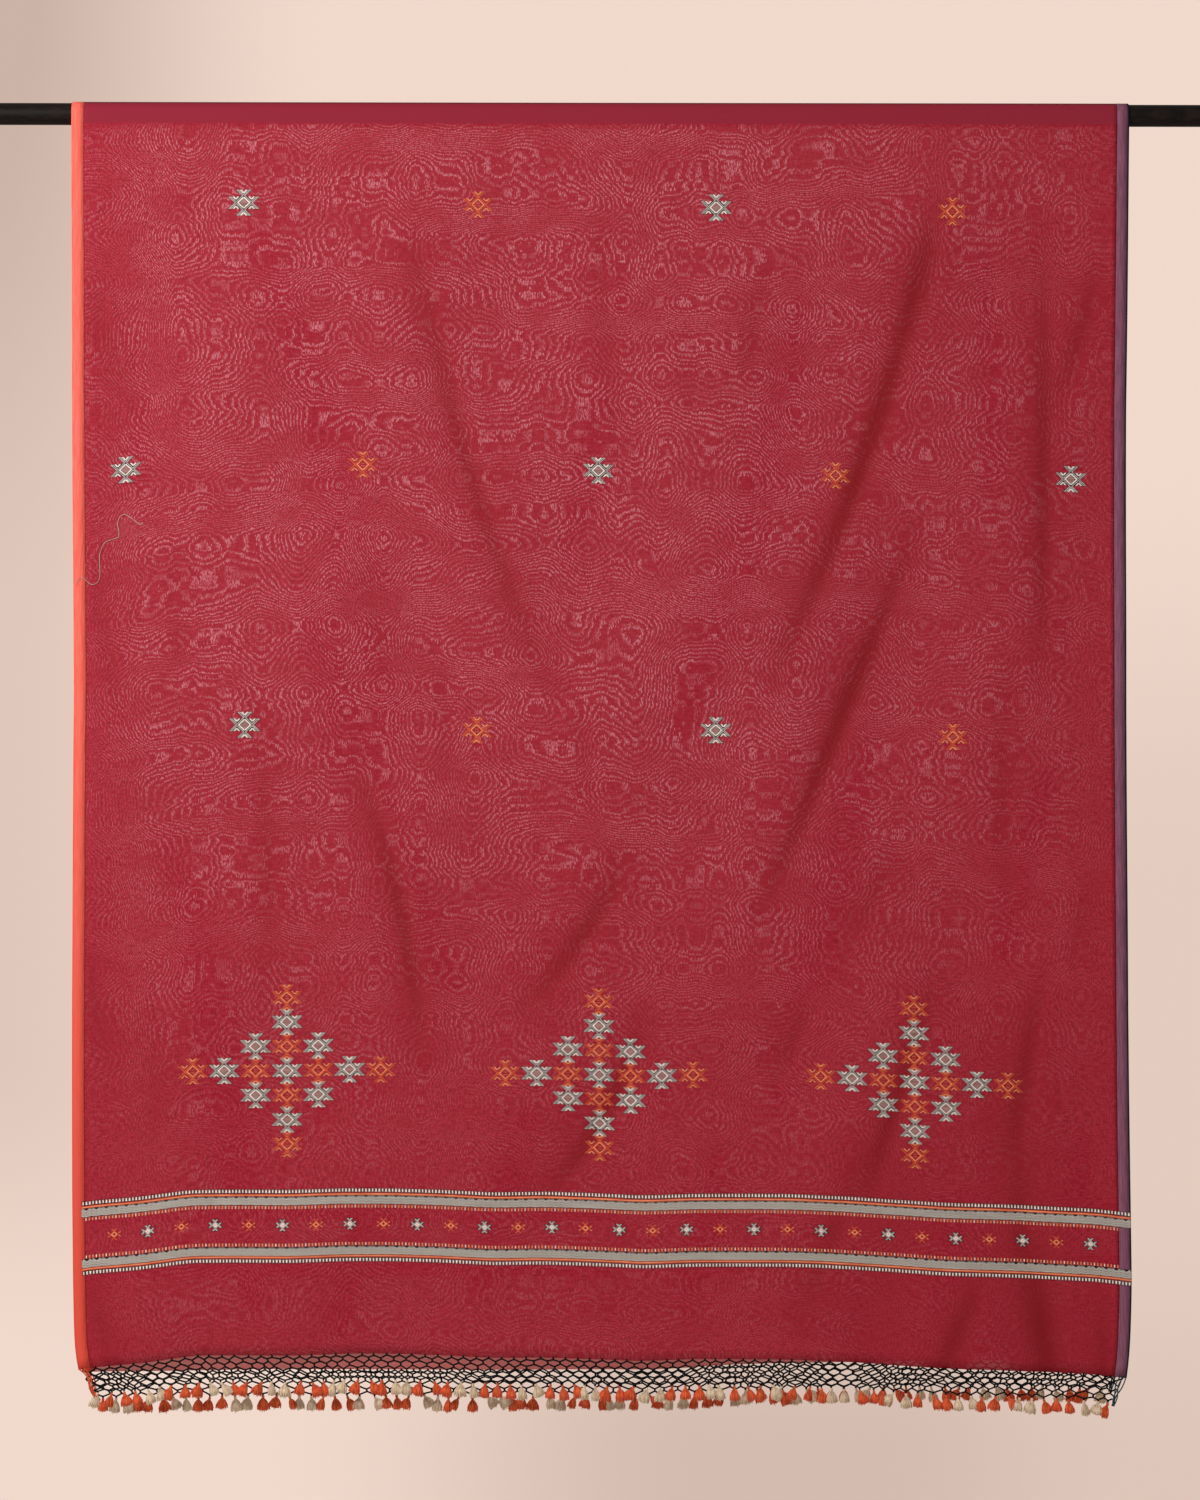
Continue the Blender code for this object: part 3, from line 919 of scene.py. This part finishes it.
def lay_figure(strokes, centre, lift=None):
    """Lays a figure's strokes round its centre, mirrored four ways, each a hair higher."""
    for stroke in strokes:
        for turn, (flip_x, flip_y) in enumerate(FOUR_WAYS):
            start = (centre[0] + flip_x * stroke.x0, centre[1] + flip_y * stroke.y0)
            end = (centre[0] + flip_x * stroke.x1, centre[1] + flip_y * stroke.y1)
            height = (LIFT[stroke.colour] if lift is None else lift) + turn * NUDGE
            lay_stroke(stroke.colour, start, end, stroke.width, height)


# %% [markdown]
# ### The star
#
# Four slanting bars cross to make an eight-armed star with a diamond in the middle. Small
# chevrons fill the six outer notches. The pale star has black outlines and grey bars; the
# orange one is open, so the ground shows between its lines. Every arm ends level, because
# extra weft can only start and stop along the weft.

# %% Star strokes, one quarter each
PALE_STAR = in_metres(Stroke, (
    ("black", -12.2, -5.6, 5.4, 11.5, 2.6), ("grey", -12, -5.3, 5.1, 11.2, 1.9),
    ("black", 0, 7.7, 3.4, 11.5, 1.8), ("black", 6.8, 2.2, 9.8, 5.6, 1.8),
    ("black", 6.8, 2.2, 3.8, 5.6, 1.8), ("cream", 0, 8.5, 2.5, 11.2, 1.1),
    ("cream", 6.8, 2.9, 9, 5.4, 1.1), ("cream", 6.8, 2.9, 4.6, 5.4, 1.1),
))
BAR_CORES = in_metres(Stroke, [("black", -11.6, -4.9, 4.6, 10.7, 0.4)])
STAR_HEART = in_metres(Stroke, [("cream", 0, 4.9, 5.1, 0, 1.1)])
ORANGE_STAR = in_metres(Stroke, (
    ("orange", -12.8, -5.4, 4.4, 11.2, 0.6), ("orange", -11.4, -5.4, 5.8, 11.2, 0.6),
    ("apricot", 0, 4.8, 5, 0, 0.8), ("apricot", 7.1, 3, 9.6, 5.5, 0.9),
    ("apricot", 7.1, 3, 4.6, 5.5, 0.8), ("apricot", 0, 8.6, 2.8, 11.2, 0.9),
    ("orange", 0, 1, 1.7, 1, 0.6), ("orange", 0.5, 2.2, 1, 2.2, 0.6),
))
print("strokes in a quarter of a pale star:", len(PALE_STAR))


# %% The heart of a star
CORE_LIFT, DIAMOND_LIFT, HEART_LIFT = 0.00052, 0.00060, 0.00066
DIAMOND_HALF, ROSE_HALF = 0.0060, 0.0037


def lay_diamond(colour, centre, half, lift):
    """A filled diamond: a small grid turned by an eighth of a turn."""
    side = half * math.sqrt(2.0)
    place = Matrix.Translation((centre[0], centre[1], lift))
    turn = Matrix.Rotation(math.radians(45.0), 4, "Z")
    size = Matrix.Diagonal((side, side, 1.0, 1.0))
    bmesh.ops.create_grid(
        weft[colour], x_segments=4, y_segments=4, size=0.5, matrix=place @ turn @ size
    )


def lay_pale_star(centre):
    """The pale star from its black ground up to its rose heart."""
    lay_figure(PALE_STAR, centre)
    lay_figure(BAR_CORES, centre, lift=CORE_LIFT)
    lay_diamond("black", centre, DIAMOND_HALF, DIAMOND_LIFT)
    lay_figure(STAR_HEART, centre, lift=HEART_LIFT)
    lay_diamond("rose", centre, ROSE_HALF, HEART_LIFT)


# %% Scatter the stars
Spray = namedtuple("Spray", "colours across drops")
SPRAYS = (
    Spray("POPO", (-0.3101, -0.1061, 0.1012, 0.3069), (0.0789, 0.0801, 0.0817, 0.0830)),
    Spray(
        "POPOP",
        (-0.4137, -0.2066, -0.0010, 0.2062, 0.4118),
        (0.3046, 0.3084, 0.3091, 0.3111, 0.3040),
    ),
    Spray("POPO", (-0.3105, -0.1078, 0.1010, 0.3081), (0.5341, 0.5373, 0.5354, 0.5330)),
)
CLUSTER_RISE = FRONT_DROP - 0.8357
CLUSTER_ACROSS = (-0.2730, -0.0012, 0.2731)
STEP_ACROSS = 0.0272
STEP_UP = 0.0213
CLUSTER = (
    [(step, 0, "OPOPOPO"[step + 3]) for step in range(-3, 4)]
    + [(0, step, "OPOPOPO"[step + 3]) for step in range(-3, 4) if step != 0]
    + [(side, up, "P") for side in (-1, 1) for up in (-1, 1)]
)

stars = [
    (across, FRONT_DROP - drop, colour)
    for spray in SPRAYS
    for colour, across, drop in zip(spray.colours, spray.across, spray.drops)
]
stars += [
    (middle + side * STEP_ACROSS, CLUSTER_RISE + up * STEP_UP, colour)
    for middle in CLUSTER_ACROSS
    for side, up, colour in CLUSTER
]
for across, rise, colour in stars:
    if colour == "P":
        lay_pale_star((across, rise))
    else:
        lay_figure(ORANGE_STAR, (across, rise))
print("stars at one end:", len(stars))

# %% [markdown]
# ### The border bands
#
# Each band is built in rows: tiny teeth, an orange line, a zigzag of three nested lines
# and a row of dashes. The lower band is the upper one turned over. All but the dashes cross
# the selvedges too, since extra weft runs the full width of the loom.

# %% Steps across, lines and teeth
BAND_LEFT = -0.4520
BAND_RIGHT = 0.4596
TOOTH_PITCH = 0.00289


def across_steps(pitch, left=BAND_LEFT, right=BAND_RIGHT):
    """Evenly spaced places across, as near to the pitch as fits."""
    count = round((right - left) / pitch)
    return [left + (index + 0.5) * (right - left) / count for index in range(count)]


def lay_line(colour, rise, height):
    """One float of yarn right across the band."""
    lay_stroke(colour, (BAND_LEFT, rise), (BAND_RIGHT, rise), height)


def lay_teeth(rise, up):
    """A row of small trapezoids with their wide ends towards the band, each outlined in black."""
    for index, x in enumerate(across_steps(TOOTH_PITCH)):
        foot, taper = (0.0011, 1.0) if index % 3 == 0 else (0.0018, 0.55)
        for colour, margin in (("black", 0.0011), ("cream", 0.0)):
            reach = up * (0.0014 + margin / 2)
            lay_stroke(colour, (x, rise - reach), (x, rise + reach), foot + margin, taper=taper)


print("teeth across a band:", len(across_steps(TOOTH_PITCH)))

# %% The zigzag
ZIGZAG_PITCH = 3 * TOOTH_PITCH
ZIGZAG_HALF = 0.0036
ZIGZAG_NEST = 0.0021
ZIGZAG_SLOPE = 0.92


def lay_zigzag(rise):
    """Nested zigzag lines on black, each cut off level where it meets the band's edge."""
    lay_line("black", rise, 2 * ZIGZAG_HALF + 0.0008)
    for line in range(4):
        valley = ZIGZAG_NEST * (line - 1) - ZIGZAG_HALF
        inner = max(0.0, (-ZIGZAG_HALF - valley) / ZIGZAG_SLOPE)
        outer = min(ZIGZAG_PITCH / 2, (ZIGZAG_HALF - valley) / ZIGZAG_SLOPE)
        for x in across_steps(ZIGZAG_PITCH):
            for turn in (-1, 1):
                start = (x + turn * inner, rise + valley + ZIGZAG_SLOPE * inner)
                end = (x + turn * outer, rise + valley + ZIGZAG_SLOPE * outer)
                lay_stroke("cream", start, end, 0.00080, LIFT["cream"] + (turn + 1) * NUDGE)


# %% The orange line and the dashes
DASH_HALF = 0.0012


def lay_orange_line(rise):
    """A thick line with paler flecks where the pick beneath shows."""
    lay_line("orange", rise, 0.0019)
    for x in across_steps(0.0022):
        lay_stroke("apricot", (x - 0.0007, rise - 0.0004), (x + 0.0007, rise + 0.0004), 0.0012)


def lay_dashes(rise):
    """Narrow cream marks and pairs of orange ones pinched at the waist."""
    for index, x in enumerate(across_steps(TOOTH_PITCH, -FIELD_HALF, FIELD_HALF)):
        for way in (-1, 1):
            if index % 3 == 0:
                lay_stroke("cream", (x, rise), (x, rise + way * DASH_HALF), 0.0009)
            else:
                end = (x, rise + way * DASH_HALF)
                lay_stroke("apricot", (x, rise), end, 0.0008, taper=2.0)


# %% Lay both bands
TEETH_RISE = 0.1430
LOWER_TEETH_RISE = 0.0823
TO_ORANGE_LINE, TO_ZIGZAG, TO_DASHES = 0.0034, 0.0083, 0.0140
for teeth_rise, up in ((TEETH_RISE, 1), (LOWER_TEETH_RISE, -1)):
    lay_teeth(teeth_rise, up)
    lay_orange_line(teeth_rise - up * TO_ORANGE_LINE)
    lay_zigzag(teeth_rise - up * TO_ZIGZAG)
    lay_dashes(teeth_rise - up * TO_DASHES)
print("band depth, metres:", TO_DASHES + DASH_HALF)

# %% The row of small stars between the bands
SMALL_PALE = in_metres(Stroke, (
    ("black", -5.3, -2.5, 2.2, 5.2, 2.4), ("grey", -5, -2.2, 1.9, 4.9, 1.3),
    ("rose", 0, 3.1, 3.1, 0, 0.7),
))
SMALL_ORANGE = in_metres(Stroke, (
    ("orange", -5.3, -2.3, 2.2, 5, 0.8), ("apricot", 4.4, 1, 5.6, 2.1, 0.5),
    ("apricot", 0, 2, 2.2, 0, 0.9),
))
SMALL_STAR_RISE = TEETH_RISE - 0.0294
SMALL_STAR_LEFT = -0.4237
SMALL_STAR_PITCH = 0.02925
SMALL_STARS = 30
for index in range(SMALL_STARS):
    centre = (SMALL_STAR_LEFT + index * SMALL_STAR_PITCH, SMALL_STAR_RISE)
    if index % 2:
        lay_figure(SMALL_PALE, centre)
        lay_diamond("cream", centre, 0.0021, 0.00056)
        lay_diamond("apricot", centre, 0.0007, 0.00061)
    else:
        lay_figure(SMALL_ORANGE, centre)
print("small stars in the row:", SMALL_STARS)

# %% Copy one end's strokes to both ends
BORDER_NODES = {
    "front": ("front_upper_border", "front_lower_border"),
    "back": ("back_upper_border", "back_lower_border"),
}
TO_END = {
    "front": Matrix.Translation((0.0, -FRONT_RUN, 0.0)),
    "back": Matrix.Translation((0.0, BACK_RUN, 0.0)) @ Matrix.Rotation(math.pi, 4, "Z"),
}


def hang_at(end, bm, name, material, nodes):
    """Carries a piece made flat to one end of the cloth and hangs it there."""
    bmesh.ops.transform(bm, matrix=TO_END[end], verts=bm.verts)
    hang_bmesh(bm)
    finish_piece(end + "_" + name, bm, material, nodes)


for colour, material in YARNS.items():
    for end in TO_END:
        nodes = BORDER_NODES[end] if colour == "cream" else ()
        hang_at(end, weft[colour].copy(), colour + "_weft", material, nodes)
for bm in weft.values():
    bm.free()

# %% [markdown]
# ## The knotted net
#
# At each end the warp threads are gathered into black cords and knotted into a net of long
# cells. Each course is one wavy cord, half a cell out of step with the next, and a short tie
# joins them wherever they come close. Hand knotting is never even, so every cord gets its
# own small errors from a seeded random source. A cord is a curve with a round bevel, turned
# into a mesh.

# %% Sizes of the net
HEM_HALF = 0.4570
CELL_WIDTH = 0.0111
COURSE_DROP = 0.0045
COURSES = 5
SWING = 0.0011
CORD_RADIUS = 0.00074
TIE_RADIUS = 0.00090
POINTS_PER_CELL = 8
NET_FOOT = -COURSES * COURSE_DROP
NET_CELLS = round(2 * HEM_HALF / CELL_WIDTH)
print("cells across the net:", NET_CELLS)


# %% Making a cord and joining meshes
def cord_mesh(points, radius):
    """A poly spline with a round bevel, turned into a bmesh."""
    curve = bpy.data.curves.new("cord", "CURVE")
    curve.dimensions = "3D"
    curve.bevel_depth = radius
    curve.bevel_resolution = 1
    curve.use_fill_caps = True
    spline = curve.splines.new("POLY")
    spline.points.add(len(points) - 1)
    for point, place in zip(spline.points, points):
        point.co = (*place, 1.0)
    holder = bpy.data.objects.new("cord", curve)
    bpy.context.scene.collection.objects.link(holder)
    mesh = bpy.data.meshes.new_from_object(holder)
    bm = bmesh.new()
    bm.from_mesh(mesh)
    bpy.data.objects.remove(holder, do_unlink=True)
    bpy.data.curves.remove(curve)
    bpy.data.meshes.remove(mesh)
    return bm


def join_bmesh(target, source, matrix=Matrix.Identity(4)):
    """Adds one bmesh to another through a throwaway mesh."""
    mesh = bpy.data.meshes.new("joining")
    source.to_mesh(mesh)
    mesh.transform(matrix)
    target.from_mesh(mesh)
    bpy.data.meshes.remove(mesh)


# %% Where the knotter's hand puts each cord
def net_half_width(rise):
    """The net draws in towards its lower corners."""
    return HEM_HALF - 0.0080 * (rise / NET_FOOT)


def between(values, at):
    """A list read at a place between two of its values."""
    step = int(at)
    return values[step] * (1.0 - at % 1.0) + values[step + 1] * (at % 1.0)


class HandKnotting:
    """The small unevenness of hand knotting, the same for a cord and the ties that meet it."""

    def __init__(self, seed, cells):
        rng = random.Random(seed)
        self.slip = [rng.uniform(-0.0011, 0.0011) for _ in range(cells + 2)]
        self.dip = [
            [rng.uniform(-0.0006, 0.0006) for _ in range(2 * cells + 3)] for _ in range(COURSES)
        ]
        self.cells = cells

    def place(self, course, at):
        """A point of a course's cord; at counts cells from the left corner."""
        middle = (course + 0.5) * -COURSE_DROP
        half = net_half_width(middle)
        share = at / self.cells
        swing = math.cos(2.0 * math.pi * (at + 0.5 * course))
        wave = math.asin(0.96 * swing) / math.asin(0.96)
        slip = between(self.slip, at)
        dip = between(self.dip[course], 2 * at)
        x = -half + 2.0 * half * share + slip * (1.0 + 0.5 * course)
        return Vector((x, middle + SWING * wave + dip, 0.0003 * math.sin(5.1 * at + 2.0 * course)))


# %% Ties, and the whole net
def add_tie(bm, top, foot, radius):
    """A short upright knot of cord between two points, bulging in its middle."""
    middle = (top + foot) / 2
    length = (top - foot).length / 2 + radius * 0.6
    lean = math.atan2(top.x - foot.x, top.y - foot.y)
    size = Matrix.Diagonal((radius, length, radius, 1.0))
    turn = Matrix.Rotation(-lean, 4, "Z")
    bmesh.ops.create_icosphere(
        bm, subdivisions=1, radius=1.15, matrix=Matrix.Translation(middle) @ turn @ size
    )


def knotted_net(seed):
    """All courses and knots of one end's net, flat, hanging down from the hem line."""
    knotting = HandKnotting(seed, NET_CELLS)
    bm = bmesh.new()
    for course in range(COURSES):
        steps = NET_CELLS * POINTS_PER_CELL
        points = [knotting.place(course, index / POINTS_PER_CELL) for index in range(steps + 1)]
        cord = cord_mesh(points, CORD_RADIUS)
        join_bmesh(bm, cord)
        cord.free()
    feet = []
    for course in range(COURSES + 1):
        for index in range(NET_CELLS):
            at = index + (0.0 if course % 2 == 0 else 0.5)
            foot = knotting.place(course, at) if course < COURSES else None
            top = knotting.place(course - 1, at) if course > 0 else Vector((foot.x, 0.0006, 0.0))
            if foot is None:
                foot = top + Vector((0.0, -0.0016, 0.0))
                feet.append(foot)
            add_tie(bm, top, foot, TIE_RADIUS)
    return bm, feet


net_feet = {}
for end, seed in (("front", 11), ("back", 23)):
    bm, net_feet[end] = knotted_net(seed)
    hang_at(end, bm, "knotted_net", BLACK_CORD, (end + "_net",))
print("tassel places at one end:", len(net_feet["front"]))

# %% [markdown]
# ## The tassels
#
# A tassel hangs from each bottom knot of the net: a small bound head over a skirt of cut
# cotton that flares like a bell. Three rust ones are followed by two cream ones. A few
# tassels are made from a round head and a ring of tapered strands, then copied with their
# own tilt, size and turn each time. Bridging can list its faces in another order at each
# run, so the faces are sorted along a slanting line, and every run gives the same mesh.

# %% One strand of a tassel
STRAND_RADIUS = 0.00062
STRAND_RINGS = ((0.20, 0.14, 0.8), (0.40, 0.56, 1.0), (0.72, 0.93, 1.0), (1.0, 1.0, 0.55))


def add_strand(bm, around, reach, length, radius):
    """One tapered bundle of cotton: four small triangles joined from the neck to the foot."""
    rings = []
    for share, out, thick in STRAND_RINGS:
        x, z = math.cos(around), 0.62 * math.sin(around)
        place = Vector((reach * out * x, -length * share, reach * out * z))
        made = bmesh.ops.create_circle(
            bm, cap_ends=False, segments=3, radius=radius * thick,
            matrix=Matrix.Translation(place) @ Matrix.Rotation(math.radians(90.0), 4, "X"),
        )
        rings.append(made["verts"])
    for upper, lower in zip(rings, rings[1:]):
        edges = [e for ring in (upper, lower) for e in bm.edges if all(v in ring for v in e.verts)]
        bmesh.ops.bridge_loops(bm, edges=edges)


# %% One tassel
TASSEL_LENGTH = 0.0138
STRANDS = 24
SORT_LINE = Vector((0.37, 1.0, 0.11))


def ball(y, half_x, half_y, half_z):
    """The matrix that makes a unit sphere an egg of these half sizes, hanging at y."""
    return Matrix.Translation((0.0, y, 0.0)) @ Matrix.Diagonal((half_x, half_y, half_z, 1.0))


def tassel(seed):
    """A tassel hanging down from its tie point at the origin, flat frame."""
    rng = random.Random(seed)
    bm = bmesh.new()
    head = ball(-0.0013, 0.0014, 0.0016, 0.0013)
    bmesh.ops.create_uvsphere(bm, u_segments=8, v_segments=5, radius=1.0, matrix=head)
    neck = ball(-0.0033, 0.0011, 0.0016, 0.0010)
    bmesh.ops.create_uvsphere(bm, u_segments=8, v_segments=4, radius=1.0, matrix=neck)
    flare = rng.uniform(0.0042, 0.0056)
    heart = ball(-0.0088, flare * 0.86, 0.0046, flare * 0.55)
    bmesh.ops.create_icosphere(bm, subdivisions=2, radius=1.0, matrix=heart)
    for index in range(STRANDS):
        around = 2.0 * math.pi * (index + rng.uniform(-0.25, 0.25)) / STRANDS
        inner = 1.0 - 0.10 * abs(math.cos(around))
        reach = flare * rng.uniform(0.82, 1.06)
        length = TASSEL_LENGTH * inner * rng.uniform(0.93, 1.03)
        add_strand(bm, around, reach, length, STRAND_RADIUS)
    bmesh.ops.recalc_face_normals(bm, faces=bm.faces)
    bm.faces.sort(key=lambda face: face.calc_center_median().dot(SORT_LINE))
    return bm


SHAPES = 8
tassel_shapes = [tassel(100 + index) for index in range(SHAPES)]
print("faces in one tassel:", len(tassel_shapes[0].faces))


# %% Hang the tassels
def tassel_row(seed, feet, drop):
    """Every tassel of one end, sorted by its cotton."""
    rng = random.Random(seed)
    rows = {"rust": bmesh.new(), "cream": bmesh.new()}
    for index, foot in enumerate(feet):
        colour = "cream" if (index + 1) % 5 in (0, 1) else "rust"
        tilt = Matrix.Rotation(rng.gauss(0.0, 0.27), 4, "Z")
        spin = Matrix.Rotation(rng.uniform(-0.5, 0.5), 4, "Y")
        size = Matrix.Diagonal((rng.uniform(0.88, 1.10), rng.uniform(0.90, 1.06), 0.85, 1.0))
        place = Matrix.Translation(foot + Vector((0.0, rng.uniform(-drop, 0.0008), 0.0003)))
        shape = tassel_shapes[rng.randrange(SHAPES)]
        join_bmesh(rows[colour], shape, place @ tilt @ spin @ size)
    return rows


TASSEL_COTTON = {"rust": RUST_COTTON, "cream": CREAM_COTTON}
for end, seed in (("front", 5), ("back", 8)):
    for colour, bm in tassel_row(seed, net_feet[end], 0.0006).items():
        name, cotton = colour + "_tassels", TASSEL_COTTON[colour]
        hang_at(end, bm, name, cotton, (end + "_tassels",))
for shape in tassel_shapes:
    shape.free()

# %% [markdown]
# ### The corner cords
#
# The selvedge warps are too many for one cell, so each corner carries its own bundle: the
# orange ones slant in to the outermost tassels on one side, dark teal ones on the other.

# %% Corner cords
Bundle = namedtuple("Bundle", "top foot bow")
ORANGE_BUNDLE = in_metres(Bundle, (
    (-459.2, -446.8, 1.2), (-457.2, -446.2, 0.8), (-455.2, -445, 1.2),
))
TEAL_BUNDLE = in_metres(Bundle, (
    (459.2, 450, 1.4), (457.4, 449.4, -1), (455.6, 448.8, 1.2), (454, 447.8, -0.8),
))
CORNER_TOP = 0.0008
CORNER_FOOT = -0.0255
CORNER_STEPS = 12
CORNER_RADIUS = 0.00055


def corner_bundle(strands):
    """A few slanting cords side by side, flat, from the hem down to a corner tassel."""
    bm = bmesh.new()
    for strand in strands:
        points = []
        for step in range(CORNER_STEPS + 1):
            share = step / CORNER_STEPS
            x = strand.top + (strand.foot - strand.top) * share**0.85
            x += strand.bow * math.sin(2.0 * math.pi * share)
            lift = 0.0009 + 0.0005 * math.sin(7.0 * share + strand.top * 900.0)
            points.append((x, CORNER_TOP + (CORNER_FOOT - CORNER_TOP) * share, lift))
        cord = cord_mesh(points, CORNER_RADIUS)
        join_bmesh(bm, cord)
        cord.free()
    return bm


for end in TO_END:
    for name, strands, material in (
        ("orange_corner_cords", ORANGE_BUNDLE, ORANGE_WEFT),
        ("teal_corner_cords", TEAL_BUNDLE, TEAL_CORD),
    ):
        bm = corner_bundle(strands)
        if end == "back":
            bmesh.ops.scale(bm, vec=(-1.0, 1.0, 1.0), verts=bm.verts)
            bmesh.ops.reverse_faces(bm, faces=bm.faces)
        hang_at(end, bm, name, material, ())

# %% [markdown]
# ### A loose thread
#
# One fine pale thread has come loose and curls over the front near the orange edge. Its
# points are given in millimetres, as a place across and a drop below the rod's top, and a
# moving average rounds their corners off.

# %% Lay the loose thread
CURL = (
    (-398.5, 357.5), (-401.4, 360), (-405.8, 356.1), (-411.1, 352.3), (-415.4, 349.9),
    (-419.8, 353.7), (-421.3, 359.6), (-419.6, 365.4), (-419.8, 370.7), (-425.5, 372.3),
    (-432.8, 375), (-435.2, 380.9), (-437, 385.7), (-437, 394.3), (-436.4, 402.1),
    (-437.6, 408.8), (-442.5, 412.5), (-446.3, 410.8), (-449.2, 407.9), (-452.6, 405),
    (-456.5, 408.8), (-457.4, 413.7),
)
knots = np.array(CURL) / 1000
fine = np.linspace(0, len(knots) - 1, 5 * len(knots))
window = np.hanning(9)[1:-1] / np.hanning(9).sum()
curl = []
for column in knots.T:
    padded = np.pad(np.interp(fine, range(len(knots)), column), 3, mode="edge")
    curl.append(np.convolve(padded, window, mode="valid"))
sag_there = np.interp(curl[0], *FRONT_SAG)
LOOSE_LIFT = 0.0006
LOOSE_RADIUS = 0.00026
points = [
    (x, -(drop - sag + QUARTER_TURN), LOOSE_LIFT) for x, drop, sag in zip(*curl, sag_there)
]
bm = cord_mesh(points, LOOSE_RADIUS)
hang_bmesh(bm)
finish_piece("loose_thread", bm, LOOSE_COTTON, ())

# %% [markdown]
# ## The rod
#
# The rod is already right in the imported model, so it stays and only gets its finish: a
# satin black lacquer, a little uneven from handling, and slightly brown where it thins.

# %% Finish the rod
rod_paint, tree, shader = new_material("rod_lacquer")
place = tree.nodes.new("ShaderNodeTexCoord").outputs["Object"]
wear = scaled_noise(tree, place, (60.0, 500.0, 500.0), 3.0, 2.0)
wear_and_foot_shade = ramp_between(tree, wear, 0.35, 0.75)
lacquer = blend_colours(tree, wear_and_foot_shade, (0.006, 0.005, 0.005), (0.016, 0.010, 0.008))
tree.links.new(lacquer, shader.inputs["Base Color"])
tree.links.new(ramp_between(tree, wear, -0.6, 1.6), shader.inputs["Roughness"])
shader.inputs["Specular IOR Level"].default_value = 0.12
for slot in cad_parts["rod"].material_slots:
    slot.material = rod_paint
print("lacquered slots:", len(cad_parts["rod"].material_slots))

# %% [markdown]
# ## Measuring the whole
#
# The box round every piece that is shown is measured and printed.

# %% Measure the box
low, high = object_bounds()
print("visual box in metres:", [[round(c, 4) for c in corner] for corner in (low, high)])
